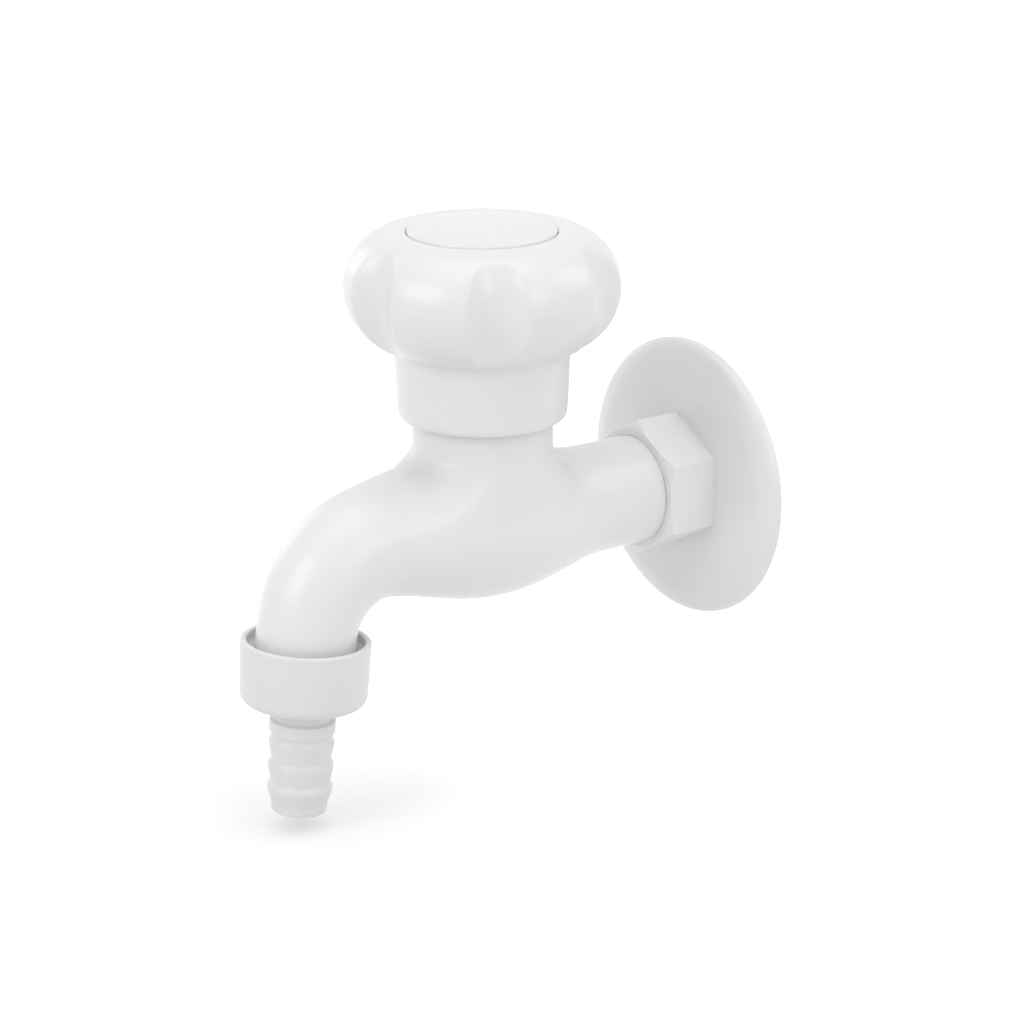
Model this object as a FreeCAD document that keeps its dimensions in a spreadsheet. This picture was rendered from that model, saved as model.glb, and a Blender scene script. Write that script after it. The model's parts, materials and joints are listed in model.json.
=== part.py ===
import FreeCAD, Part
import math
import os
import Sketcher

# A wall-mounted bib tap with a screw-down valve and a hose union on its spout.
# Frame: X = 0 and Z = 0 on the inlet axis, Y = 0 at the wall plane, the tap reaching out along -Y, Z up.

# Driving dimensions, in millimetres, or degrees where the name ends in angle or tilt.
SIZES = {
    # clearances
    "running_gap": 0.05,
    "static_gap": 0.1,
    "clear_gap": 0.3,
    "cut_margin": 1.0,
    # inlet connector and flange
    "thread_radius": 10.4775,
    "thread_crest_radius": 10.3,
    "thread_pitch": 1.814,
    "thread_depth": 0.9,
    "thread_root_flat": 0.25,
    "thread_flank": 0.6,
    "thread_end_chamfer": 1.0,
    "plain_shank": 3.5,
    "thread_end": 15.5,
    "hex_flats": 27.0,
    "hex_length": 12.4,
    "hex_chamfer": 0.9,
    "hex_chamfer_run": 1.35,
    "connector_bore": 6.0,
    "spigot_radius": 9.5,
    "spigot_length": 12.0,
    "seal_thickness": 1.6,
    "seal_groove_start": 4.0,
    "seal_groove_width": 2.1,
    "spigot_chamfer": 0.9,
    "flange_radius": 31.7,
    "flange_depth": 4.1,
    "flange_edge_round": 2.0,
    "flange_rim_width": 0.85,
    "flange_rim_drop": 1.96,
    "flange_band_round": 9.0,
    "flange_band_width": 4.75,
    "flange_band_drop": 0.42,
    "flange_dome_round": 43.0,
    "flange_dome_width": 10.75,
    "flange_wall": 2.0,
    "flange_foot": 2.6,
    "flange_foot_slope": 0.8,
    # outside of the tap body
    "pipe_radius": 12.1,
    "pipe_length": 9.0,
    "pipe_end_round": 0.8,
    "bulb_end": 33.0,
    "bulb_at_1": 27.0,
    "bulb_rise_1": 0.05,
    "bulb_radius_1": 12.15,
    "bulb_at_2": 20.0,
    "bulb_rise_2": 0.0,
    "bulb_radius_2": 13.2,
    "bulb_at_3": 12.0,
    "bulb_rise_3": -0.25,
    "bulb_radius_3": 14.95,
    "bulb_at_4": 4.0,
    "bulb_rise_4": -0.35,
    "bulb_radius_4": 15.95,
    "bulb_at_5": -4.0,
    "bulb_rise_5": 0.1,
    "bulb_radius_5": 16.1,
    "bulb_at_6": -12.0,
    "bulb_rise_6": 1.4,
    "bulb_radius_6": 15.6,
    "bulb_at_7": -20.0,
    "bulb_rise_7": 2.15,
    "bulb_radius_7": 13.95,
    "neck_radius": 15.2,
    "neck_top": 33.0,
    "neck_blend": 7.0,
    "spout_height": 2.2,
    "bend_start": 28.1,
    "bend_radius": 18.6,
    "bend_bore_start": 13.0,
    "outlet_tilt": 4.0,
    "spout_start_radius": 12.5,
    "spout_end_radius": 10.75,
    "spout_shoulder": 3.4,
    "spout_nose": 10.2,
    "spout_bore": 7.5,
    # valve seat and chamber
    "seat_bore": 5.5,
    "seat_rim": 1.7,
    "seat_height": 10.0,
    "seat_lip": 1.0,
    "chamber_radius": 11.0,
    "chamber_top": 20.5,
    "bonnet_radius": 11.9,
    "inlet_bore_end": 4.0,
    "duct_radius": 4.8,
    "duct_offset": 9.2,
    "duct_rise": 4.0,
    "duct_length": 13.9,
    "duct_angle": 45.0,
    # valve headwork
    "valve_lift": 6.0,
    "washer_radius": 8.6,
    "washer_thickness": 3.0,
    "stud_radius": 2.0,
    "stud_end": 0.6,
    "disc_radius": 9.0,
    "disc_thickness": 2.0,
    "jumper_stem": 3.0,
    "jumper_stem_length": 9.0,
    "washer_nut_flats": 6.0,
    "washer_nut_height": 2.4,
    "bonnet_bottom_gap": 0.5,
    "bonnet_washer_thickness": 1.0,
    "bonnet_washer_radius": 14.2,
    "bonnet_hex_bore_gap": 0.5,
    "bonnet_hex_flats": 25.0,
    "bonnet_hex_height": 5.0,
    "bonnet_chimney_radius": 9.4,
    "bonnet_chimney_height": 8.0,
    "spindle_head_radius": 7.95,
    "spindle_head_height": 14.8,
    "stem_radius": 5.0,
    "guide_height": 4.0,
    "packing_radius": 7.5,
    "packing_height": 4.0,
    "follower_height": 2.3,
    "gland_flats": 23.0,
    "gland_skirt": 7.0,
    "gland_top": 1.8,
    "spline_radius": 4.0,
    "spline_depth": 0.45,
    "spline_tip_width": 0.5,
    "spline_root_width": 0.9,
    "spline_count": 20,
    "spline_overlap": 0.45,
    "spindle_top_gap": 0.2,
    # knob
    "skirt_cover": 8.2,
    "skirt_bottom_radius": 18.35,
    "skirt_top_radius": 18.9,
    "skirt_bore": 16.4,
    "skirt_round": 1.3,
    "skirt_bottom_flat": 17.5,
    "skirt_overlap": 4.7,
    "lobe_radius": 29.8,
    "lobe_top_round": 12.0,
    "lobe_under_round": 14.0,
    "flute_count": 6,
    "flute_floor": 26.5,
    "flute_arc": 22.5,
    "flute_radius": 11.5,
    "flute_sweep": 130.0,
    "knob_over_gland": 1.9,
    "web_thickness": 8.5,
    "well_radius": 6.5,
    "cap_over_screw": 0.5,
    "cap_radius": 15.9,
    "cap_gap": 0.25,
    "cap_edge_round": 0.4,
    "cap_edge_drop": 0.1,
    "cap_seat_depth": 2.4,
    "rim_dip": 0.4,
    "cap_dome": 2.7,
    "cap_spigot_wall": 1.0,
    "cap_spigot_depth": 1.9,
    "screw_radius": 2.0,
    "screw_length": 12.0,
    "screw_head_radius": 3.8,
    "screw_head_height": 2.2,
    "screw_head_round": 0.9,
    "screw_slot": 0.9,
    "screw_slot_reach": 2.3,
    "screw_slot_depth": 1.3,
    "screw_tip_chamfer": 0.45,
    "screw_washer_radius": 4.6,
    "screw_washer_height": 0.8,
    # hose union
    "nut_lip_drop": 1.2,
    "nut_height": 14.1,
    "nut_lip_radius": 14.0,
    "nut_foot_radius": 13.6,
    "nut_mouth_radius": 12.6,
    "nut_mouth_depth": 3.1,
    "nut_lip_round": 0.5,
    "nut_lip_slope": 0.3,
    "nut_mouth_slope": 0.7,
    "nut_foot_round": 2.2,
    "nut_floor": 1.2,
    "union_washer_height": 1.5,
    "union_washer_bore": 5.0,
    "collar_radius": 9.9,
    "tail_neck_radius": 7.2,
    "tail_length": 38.3,
    "tail_bore": 4.3,
    "barb_radius": 7.0,
    "barb_root_radius": 6.45,
    "barb_count": 3,
    "barb_pitch": 5.08,
    "barb_back": 1.1,
    "barb_land": 0.5,
    "first_barb": 22.8,
    "tail_end_radius": 5.9,
    "tail_end_land": 1.7,
}

BULB_ROUNDS = 7
BEND_STEPS = 6
NEAR = 0.01
NODES = []

doc = FreeCAD.newDocument("BibTap")


class Size:
    """A number together with the sheet expression that gives it, so that derived sizes stay bound."""

    def __init__(self, number, text):
        self.number = number
        self.text = text

    def __add__(self, other):
        other = as_size(other)
        return Size(self.number + other.number, f"({self.text} + {other.text})")

    def __sub__(self, other):
        other = as_size(other)
        return Size(self.number - other.number, f"({self.text} - {other.text})")

    def __mul__(self, other):
        other = as_size(other)
        return Size(self.number * other.number, f"({self.text} * {other.text})")

    def __truediv__(self, other):
        other = as_size(other)
        return Size(self.number / other.number, f"({self.text} / {other.text})")

    def __neg__(self):
        return Size(-self.number, f"(0 - {self.text})")

    def __radd__(self, other):
        return as_size(other) + self

    def __rsub__(self, other):
        return as_size(other) - self

    def __rmul__(self, other):
        return as_size(other) * self


def as_size(value):
    """A plain number becomes a Size; a Size stays as it is."""
    if isinstance(value, Size):
        return value
    return Size(float(value), f"({float(value)!r})")


def sine(angle):
    """Sine of a Size in degrees."""
    return Size(math.sin(math.radians(angle.number)), f"sin({angle.text} * 1 deg)")


def cosine(angle):
    """Cosine of a Size in degrees."""
    return Size(math.cos(math.radians(angle.number)), f"cos({angle.text} * 1 deg)")


def write_sheet():
    """Put every driving dimension in the sheet and return the sizes by name."""
    sheet = doc.addObject("Spreadsheet::Sheet", "Sizes")
    sizes = {}
    for row, (name, value) in enumerate(SIZES.items(), start=1):
        sheet.set(f"A{row}", name)
        sheet.set(f"B{row}", str(value))
        sheet.setAlias(f"B{row}", name)
        sizes[name] = Size(float(value), f"Sizes.{name}")
    doc.recompute()
    return sizes


S = write_sheet()

valve_y = -(S["flange_depth"] + S["hex_length"] + S["pipe_length"] + S["bulb_end"])
outlet_angle = 90.0 - S["outlet_tilt"]
outlet_y = -S["bend_start"] - S["bend_radius"] * sine(outlet_angle)
outlet_z = S["spout_height"] - S["bend_radius"] * (1.0 - cosine(outlet_angle))
hex_back = -S["flange_depth"]
hex_front = hex_back - S["hex_length"]
pipe_end = S["bulb_end"] + S["pipe_length"]
bonnet_seat = S["neck_top"] + S["bonnet_washer_thickness"]
washer_bottom = S["seat_height"] + S["static_gap"]
disc_bottom = washer_bottom + S["washer_thickness"]
disc_top = disc_bottom + S["disc_thickness"]
spindle_bottom = disc_top + S["static_gap"]
head_top = spindle_bottom + S["spindle_head_height"]
bonnet_bottom = disc_top + S["valve_lift"] + S["bonnet_bottom_gap"]
bonnet_hex_top = bonnet_seat + S["bonnet_hex_height"]
chimney_top = bonnet_hex_top + S["bonnet_chimney_height"]
packing_bottom = chimney_top + S["clear_gap"] - S["packing_height"] - S["follower_height"]
packing_top = packing_bottom + S["packing_height"]
follower_top = packing_top + S["follower_height"]
guide_bottom = packing_bottom - S["guide_height"]
gland_nut_top = follower_top + S["gland_top"]
web_underside = gland_nut_top + S["knob_over_gland"]
well_floor = web_underside + S["web_thickness"]
spline_top = well_floor - S["spindle_top_gap"]
spline_root = S["spline_radius"] - S["spline_depth"]
screw_seat = well_floor + S["screw_washer_height"]
screw_head_top = screw_seat + S["screw_head_height"]
cap_seat = screw_head_top + S["cap_over_screw"]
rim_top = cap_seat + S["cap_seat_depth"]
knob_top = rim_top + S["rim_dip"]
lobe_height = knob_top - S["lobe_top_round"]
skirt_bottom = S["neck_top"] - S["skirt_cover"]
nut_lip = -S["nut_lip_drop"]
nut_foot = nut_lip - S["nut_height"]
nut_floor_top = nut_foot + S["nut_floor"]
union_top = -S["spout_nose"] - S["static_gap"]
union_bottom = union_top - S["union_washer_height"]


def bind(thing, name, size):
    """Set one property from the sheet."""
    thing.setExpression(name, as_size(size).text)


def new_body(label, x=0.0, y=0.0, z=0.0, turn=None):
    """A body under its node's name, placed by its origin and, where given, a turn about X."""
    body = doc.addObject("PartDesign::Body", label)
    body.Label = label
    if turn is not None:
        body.Placement = FreeCAD.Placement(
            FreeCAD.Vector(), FreeCAD.Rotation(FreeCAD.Vector(1, 0, 0), turn.number))
        bind(body, "Placement.Rotation.Angle", turn)
    bind(body, "Placement.Base.x", x)
    bind(body, "Placement.Base.y", y)
    bind(body, "Placement.Base.z", z)
    NODES.append(body)
    return body


def valve_body(label):
    """A body whose own Z axis is the valve's."""
    return new_body(label, y=valve_y)


def outlet_body(label):
    """A body whose own Z axis runs up the outlet, from the end of the spout's bend."""
    return new_body(label, y=valve_y + outlet_y, z=outlet_z, turn=-S["outlet_tilt"])


def plane_of(body, role):
    """One of the body's own origin planes."""
    for feature in body.Origin.OriginFeatures:
        if feature.Role == role:
            return feature
    raise ValueError(role)


def new_sketch(body, name, role, offset=(0.0, 0.0, 0.0), turn=None, axis=(1, 0, 0)):
    """An empty sketch on one of the body's planes, shifted and turned in the plane's own axes."""
    sketch = body.newObject("Sketcher::SketchObject", name)
    sketch.AttachmentSupport = [(plane_of(body, role), "")]
    sketch.MapMode = "FlatFace"
    if turn is not None:
        sketch.AttachmentOffset = FreeCAD.Placement(
            FreeCAD.Vector(), FreeCAD.Rotation(FreeCAD.Vector(*axis), as_size(turn).number))
        bind(sketch, "AttachmentOffset.Rotation.Angle", turn)
    for letter, size in zip("xyz", offset):
        bind(sketch, f"AttachmentOffset.Base.{letter}", size)
    return sketch


def fix_point(sketch, geometry, end, x, y):
    """Tie one end or centre to its distance from the sketch's origin."""
    for kind, size in (("DistanceX", x), ("DistanceY", y)):
        size = as_size(size)
        index = sketch.addConstraint(Sketcher.Constraint(kind, -1, 1, geometry, end, size.number))
        bind(sketch, f"Constraints[{index}]", size)


def add_circle(sketch, x, y, radius):
    """A circle tied to its centre and radius."""
    x, y, radius = as_size(x), as_size(y), as_size(radius)
    centre = FreeCAD.Vector(x.number, y.number, 0)
    geometry = sketch.addGeometry(Part.Circle(centre, FreeCAD.Vector(0, 0, 1), radius.number), False)
    fix_point(sketch, geometry, 3, x, y)
    index = sketch.addConstraint(Sketcher.Constraint("Radius", geometry, radius.number))
    bind(sketch, f"Constraints[{index}]", radius)
    return sketch


def arc_between(start, end, radius):
    """The short arc from start to end. A positive radius puts its centre on the left of the way."""
    chord = end - start
    half = chord.Length / 2
    left = FreeCAD.Vector(-chord.y, chord.x, 0).normalize()
    rise = math.sqrt(max(radius * radius - half * half, 0.0))
    centre = (start + end) / 2 + left * math.copysign(rise, radius)
    first, last = (start, end) if radius > 0 else (end, start)
    first_angle = math.atan2(first.y - centre.y, first.x - centre.x)
    last_angle = math.atan2(last.y - centre.y, last.x - centre.x)
    circle = Part.Circle(centre, FreeCAD.Vector(0, 0, 1), abs(radius))
    return Part.ArcOfCircle(circle, first_angle, last_angle)


def add_outline(sketch, corners, closed=True):
    """Straight runs and arcs through the corners. A corner with a third value starts an arc."""
    points = [FreeCAD.Vector(as_size(c[0]).number, as_size(c[1]).number, 0) for c in corners]
    count = len(corners) if closed else len(corners) - 1
    starts, ends = [], []
    for i in range(count):
        start, end = points[i], points[(i + 1) % len(points)]
        if len(corners[i]) == 3:
            radius = as_size(corners[i][2])
            geometry = sketch.addGeometry(arc_between(start, end, radius.number), False)
            starts.append((geometry, 1 if radius.number > 0 else 2))
            ends.append((geometry, 2 if radius.number > 0 else 1))
        else:
            geometry = sketch.addGeometry(Part.LineSegment(start, end), False)
            starts.append((geometry, 1))
            ends.append((geometry, 2))
    for i in range(count if closed else count - 1):
        sketch.addConstraint(Sketcher.Constraint("Coincident", *ends[i], *starts[(i + 1) % count]))
    for i in range(count):
        fix_point(sketch, *starts[i], *corners[i][:2])
    if not closed:
        fix_point(sketch, *ends[-1], *corners[-1][:2])
    for i in range(count):
        if len(corners[i]) == 3:
            radius = as_size(corners[i][2])
            index = sketch.addConstraint(Sketcher.Constraint("Radius", starts[i][0], abs(radius.number)))
            bind(sketch, f"Constraints[{index}]", radius if radius.number > 0 else -radius)
    return sketch


def feature_on(body, kind, name, sketch, **settings):
    """A feature of the body made from a sketch."""
    feature = body.newObject(f"PartDesign::{kind}", name)
    feature.Profile = sketch
    for key, value in settings.items():
        if isinstance(value, Size):
            bind(feature, key, value)
        else:
            setattr(feature, key, value)
    sketch.Visibility = False
    return feature


def turned(body, name, role, corners, kind="Revolution"):
    """A solid or a cut of revolution about the sketch's upright axis: corners are (radius, station)."""
    sketch = add_outline(new_sketch(body, f"{name}Outline", role), corners)
    return feature_on(body, kind, name, sketch, ReferenceAxis=(sketch, ["V_Axis"]), Angle=360.0)


def ring(body, name, role, inner, outer, low, high, kind="Revolution"):
    """A plain ring, or a disc where the inner radius is 0."""
    return turned(body, name, role, [(inner, low), (outer, low), (outer, high), (inner, high)], kind)


def add_hexagon(sketch, flats, turn_angle):
    """A regular hexagon about the sketch's origin, its first corner turn_angle from the sketch's X."""
    corner_radius = as_size(flats) / math.sqrt(3.0)
    corners = []
    for i in range(6):
        angle = as_size(turn_angle + 60.0 * i)
        corners.append((corner_radius * cosine(angle), corner_radius * sine(angle)))
    return add_outline(sketch, corners)


def polar_copies(body, name, feature, axis_role, count):
    """Repeat a feature evenly round one of the body's axes."""
    pattern = body.newObject("PartDesign::PolarPattern", name)
    pattern.Originals = [feature]
    pattern.Axis = (plane_of(body, axis_role), [""])
    pattern.Angle = 360.0
    pattern.Occurrences = int(count.number)
    bind(pattern, "Occurrences", count)
    body.Tip = pattern
    return pattern


def edge_names(shape, wanted):
    """Names of the edges for which wanted(edge) is true."""
    return [f"Edge{i}" for i, edge in enumerate(shape.Edges, start=1) if wanted(edge)]


def dress(body, kind, name, base, names, size):
    """A fillet or chamfer on named edges of the body's last feature."""
    if not names:
        raise ValueError(f"{body.Label}: no edge found for {name}")
    feature = body.newObject(f"PartDesign::{kind}", name)
    feature.Base = (base, names)
    bind(feature, "Radius" if kind == "Fillet" else "Size", size)
    return feature


def cut_thread(body, role, start, end):
    """A right-hand V thread cut into a shank of the crest radius, from start to past its end."""
    crest = S["thread_crest_radius"]
    root = crest - S["thread_depth"]
    outside = crest + S["clear_gap"]
    flat = S["thread_root_flat"] / 2.0
    wide = flat + S["thread_flank"]
    groove = add_outline(new_sketch(body, "ThreadSection", role), [
        (root, start - flat),
        (outside, start - wide),
        (outside, start + wide),
        (root, start + flat),
    ])
    doc.recompute()
    before = body.Tip.Shape.Volume
    thread = body.newObject("PartDesign::SubtractiveHelix", "Thread")
    thread.Profile = groove
    thread.ReferenceAxis = (groove, ["V_Axis"])
    thread.Mode = "pitch-height-angle"
    bind(thread, "Pitch", S["thread_pitch"])
    bind(thread, "Height", end - start + S["thread_pitch"])
    thread.LeftHanded = False
    groove.Visibility = False
    doc.recompute()
    if body.Tip.Shape.Volume >= before:
        raise RuntimeError(f"{body.Label}: the thread cut nothing")


def make_tap_body():
    """The moulded body: inlet pipe, valve bulb, neck and down-turned spout, hollow throughout."""
    body = valve_body("tap_body")
    outside = shape_outside(body)
    neck = ring(body, "Neck", "XZ_Plane", 0.0, S["neck_radius"], 0.0, S["neck_top"])
    doc.recompute()
    if neck.Shape.Volume <= outside.Shape.Volume:
        raise RuntimeError("the neck added nothing")
    names = edge_names(neck.Shape, on_neck_root)
    dress(body, "Fillet", "NeckBlend", neck, names, S["neck_blend"])
    doc.recompute()
    names = edge_names(body.Tip.Shape, on_pipe_end)
    dress(body, "Fillet", "PipeEndRound", body.Tip, names, S["pipe_end_round"])
    doc.recompute()
    cut_valve_chamber(body)
    cut_inlet(body)
    cut_outlet(body)


def shape_outside(body):
    """Bulb and spout as one skin through circles, then the spout's threaded nose."""
    rounds = [(pipe_end, 0.0, S["pipe_radius"]), (S["bulb_end"], 0.0, S["pipe_radius"])]
    for i in range(1, BULB_ROUNDS + 1):
        rounds.append((S[f"bulb_at_{i}"], S[f"bulb_rise_{i}"], S[f"bulb_radius_{i}"]))
    sections = []
    for i, (station, height, radius) in enumerate(rounds):
        sketch = new_sketch(body, f"BulbRound{i}", "XZ_Plane", offset=(0.0, height, -as_size(station)))
        sections.append(add_circle(sketch, 0.0, 0.0, radius))
    for i in range(BEND_STEPS + 1):
        share = i / BEND_STEPS
        angle = outlet_angle * share
        radius = S["spout_start_radius"] * (1.0 - share) + S["spout_end_radius"] * share
        y = -S["bend_start"] - S["bend_radius"] * sine(angle)
        z = S["spout_height"] - S["bend_radius"] * (1.0 - cosine(angle))
        sketch = new_sketch(body, f"BendRound{i}", "XZ_Plane", offset=(0.0, z, -y), turn=angle)
        sections.append(add_circle(sketch, 0.0, 0.0, radius))
    shoulder_y, shoulder_z = down_outlet(S["spout_shoulder"])
    shoulder = new_sketch(body, "ShoulderRound", "XZ_Plane", offset=(0.0, shoulder_z, -shoulder_y),
                          turn=outlet_angle)
    sections.append(add_circle(shoulder, 0.0, 0.0, S["spout_end_radius"]))
    skin = body.newObject("PartDesign::AdditiveLoft", "Outside")
    skin.Profile = sections[0]
    skin.Sections = sections[1:]
    nose = new_sketch(body, "NoseOutline", "XZ_Plane", offset=(0.0, outlet_z, -outlet_y), turn=outlet_angle)
    add_circle(nose, 0.0, 0.0, S["thread_crest_radius"])
    return feature_on(body, "Pad", "Nose", nose, Length=S["spout_nose"])


def down_outlet(distance):
    """The Y and Z, from the valve axis, of a point this far down the outlet from the bend's end."""
    return (outlet_y - as_size(distance) * sine(S["outlet_tilt"]),
            outlet_z - as_size(distance) * cosine(S["outlet_tilt"]))


def edge_points(edge):
    """Both ends and the middle of an edge."""
    first, last = edge.FirstParameter, edge.LastParameter
    return [edge.valueAt(first), edge.valueAt((first + last) / 2), edge.valueAt(last)]


def on_neck_root(edge):
    """True for the line where the neck meets the bulb."""
    radius, top = S["neck_radius"].number, S["neck_top"].number
    return all(abs(math.hypot(p.x, p.y) - radius) < NEAR and NEAR < p.z < top - NEAR
               for p in edge_points(edge))


def on_pipe_end(edge):
    """True for the outer edge of the inlet pipe's end."""
    radius, station = S["pipe_radius"].number, pipe_end.number
    return all(abs(math.hypot(p.x, p.z) - radius) < NEAR and abs(p.y - station) < NEAR
               for p in edge_points(edge))


def cut_valve_chamber(body):
    """Seat bore, seat rim, chamber and the bonnet's threaded bore, all on the valve axis."""
    rim_radius = S["seat_bore"] + S["seat_rim"]
    floor = S["seat_height"] - S["seat_lip"]
    bonnet_bore = S["bonnet_radius"] + S["static_gap"]
    above = S["neck_top"] + S["clear_gap"]
    turned(body, "ValveBore", "XZ_Plane", [
        (0.0, 0.0),
        (S["seat_bore"], 0.0),
        (S["seat_bore"], S["seat_height"]),
        (rim_radius, S["seat_height"]),
        (rim_radius, floor),
        (S["chamber_radius"], floor),
        (S["chamber_radius"], S["chamber_top"]),
        (bonnet_bore, S["chamber_top"]),
        (bonnet_bore, above),
        (0.0, above),
    ], "Groove")


def cut_inlet(body):
    """Socket for the connector's spigot, then the bore that ends under the seat."""
    socket_end = pipe_end - S["spigot_length"] - S["static_gap"]
    socket_radius = S["spigot_radius"] + S["static_gap"]
    beyond = pipe_end + S["clear_gap"]
    turned(body, "InletBore", "XY_Plane", [
        (0.0, -S["inlet_bore_end"]),
        (S["connector_bore"], -S["inlet_bore_end"]),
        (S["connector_bore"], socket_end),
        (socket_radius, socket_end),
        (socket_radius, beyond),
        (0.0, beyond),
    ], "Groove")


def cut_outlet(body):
    """A slanting duct out of the chamber, then the bore that follows the spout to its mouth."""
    duct = new_sketch(body, "DuctOutline", "XZ_Plane",
                      offset=(0.0, S["seat_height"] + S["duct_rise"], S["duct_offset"]), turn=S["duct_angle"])
    add_circle(duct, 0.0, 0.0, S["duct_radius"])
    feature_on(body, "Pocket", "Duct", duct, Length=S["duct_length"], Reversed=True)
    path = new_sketch(body, "WaterPath", "YZ_Plane")
    add_outline(path, [
        (-S["bend_bore_start"], S["spout_height"]),
        (-S["bend_start"], S["spout_height"], S["bend_radius"]),
        (outlet_y, outlet_z),
        down_outlet(S["spout_nose"] + S["clear_gap"]),
    ], closed=False)
    bore = new_sketch(body, "WaterOutline", "XZ_Plane", offset=(0.0, S["spout_height"], S["bend_bore_start"]))
    add_circle(bore, 0.0, 0.0, S["spout_bore"])
    feature_on(body, "SubtractivePipe", "Waterway", bore, Spine=(path, ["Edge1", "Edge2", "Edge3"]),
               Mode="Frenet")


def make_inlet_connector():
    """Hexagon with the male inlet thread behind it and a sealed spigot in front of it."""
    body = new_body("inlet_connector")
    spigot_end = hex_front - S["spigot_length"]
    spigot_chamfer = S["spigot_chamfer"]
    thread_chamfer = S["thread_end_chamfer"]
    turned(body, "Shank", "XY_Plane", [
        (S["connector_bore"], spigot_end),
        (S["spigot_radius"] - spigot_chamfer, spigot_end),
        (S["spigot_radius"], spigot_end + spigot_chamfer),
        (S["spigot_radius"], hex_back),
        (S["thread_crest_radius"], hex_back),
        (S["thread_crest_radius"], 0.0),
        (S["thread_radius"], 0.0),
        (S["thread_radius"], S["plain_shank"]),
        (S["thread_crest_radius"], S["plain_shank"]),
        (S["thread_crest_radius"], S["thread_end"] - thread_chamfer),
        (S["thread_crest_radius"] - thread_chamfer, S["thread_end"]),
        (S["connector_bore"], S["thread_end"]),
    ])
    hexagon = new_sketch(body, "HexagonOutline", "XZ_Plane", offset=(0.0, 0.0, -hex_back))
    add_hexagon(hexagon, S["hex_flats"], 30.0)
    add_circle(hexagon, 0.0, 0.0, S["connector_bore"])
    feature_on(body, "Pad", "Hexagon", hexagon, Length=S["hex_length"])
    flat_radius = S["hex_flats"] / 2.0
    corner_radius = S["hex_flats"] / math.sqrt(3.0) + S["clear_gap"]
    turned(body, "HexagonChamfer", "XY_Plane", [
        (flat_radius, hex_front),
        (corner_radius, hex_front),
        (corner_radius, hex_front + S["hex_chamfer_run"]),
    ], "Groove")
    groove_low = spigot_end + S["seal_groove_start"]
    ring(body, "SealGroove", "XY_Plane", S["spigot_radius"] + S["static_gap"] - S["seal_thickness"],
         S["spigot_radius"] + S["clear_gap"], groove_low, groove_low + S["seal_groove_width"], "Groove")
    cut_thread(body, "XY_Plane", S["plain_shank"] + S["thread_pitch"], S["thread_end"])


def make_connector_o_ring():
    """Round-section seal in the spigot's groove."""
    body = new_body("connector_o_ring")
    wire = S["seal_thickness"] / 2.0 - S["running_gap"]
    spigot_end = hex_front - S["spigot_length"]
    middle = spigot_end + S["seal_groove_start"] + S["seal_groove_width"] / 2.0
    sketch = new_sketch(body, "SectionOutline", "XY_Plane")
    add_circle(sketch, S["spigot_radius"] + S["static_gap"] - S["seal_thickness"] / 2.0, middle, wire)
    feature_on(body, "Revolution", "Section", sketch, ReferenceAxis=(sketch, ["V_Axis"]), Angle=360.0)


def make_wall_flange():
    """Domed round cover plate, hollow behind, that the hexagon holds against the wall."""
    body = new_body("wall_flange")
    outer = S["flange_radius"]
    depth = S["flange_depth"]
    hole = S["thread_radius"] + S["clear_gap"]
    inner_depth = depth - S["flange_wall"]
    turned(body, "Plate", "XY_Plane", [
        (outer - S["flange_foot"], 0.0),
        (outer, 0.0, -S["flange_edge_round"]),
        (outer - S["flange_rim_width"], S["flange_rim_drop"] - depth, -S["flange_band_round"]),
        (outer - S["flange_band_width"], S["flange_band_drop"] - depth, -S["flange_dome_round"]),
        (outer - S["flange_dome_width"], -depth),
        (hole, -depth),
        (hole, -inner_depth),
        (outer - S["flange_dome_width"], -inner_depth),
        (outer - S["flange_foot"] - S["flange_foot_slope"], -inner_depth + S["flange_foot_slope"]),
    ])


def make_bonnet():
    """Valve headwork: threaded shank, hexagon and the gland's chimney, bored for the spindle."""
    body = valve_body("bonnet")
    head_bore = S["spindle_head_radius"] + S["running_gap"]
    guide_bore = S["stem_radius"] + S["running_gap"]
    pocket = S["packing_radius"] + S["static_gap"]
    turned(body, "Barrel", "XZ_Plane", [
        (head_bore, bonnet_bottom),
        (S["bonnet_radius"], bonnet_bottom),
        (S["bonnet_radius"], bonnet_hex_top),
        (S["bonnet_chimney_radius"], bonnet_hex_top),
        (S["bonnet_chimney_radius"], chimney_top),
        (pocket, chimney_top),
        (pocket, packing_bottom),
        (guide_bore, packing_bottom),
        (guide_bore, guide_bottom),
        (head_bore, guide_bottom),
    ])
    hexagon = new_sketch(body, "HexagonOutline", "XY_Plane", offset=(0.0, 0.0, bonnet_seat))
    add_hexagon(hexagon, S["bonnet_hex_flats"], 0.0)
    add_circle(hexagon, 0.0, 0.0, head_bore + S["bonnet_hex_bore_gap"])
    feature_on(body, "Pad", "Hexagon", hexagon, Length=S["bonnet_hex_height"])


def make_bonnet_washer():
    """Flat seal between the neck's top and the bonnet's hexagon."""
    body = valve_body("bonnet_washer")
    ring(body, "Ring", "XZ_Plane", S["bonnet_radius"] + S["static_gap"],
         S["bonnet_washer_radius"], S["neck_top"], bonnet_seat)


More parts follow.
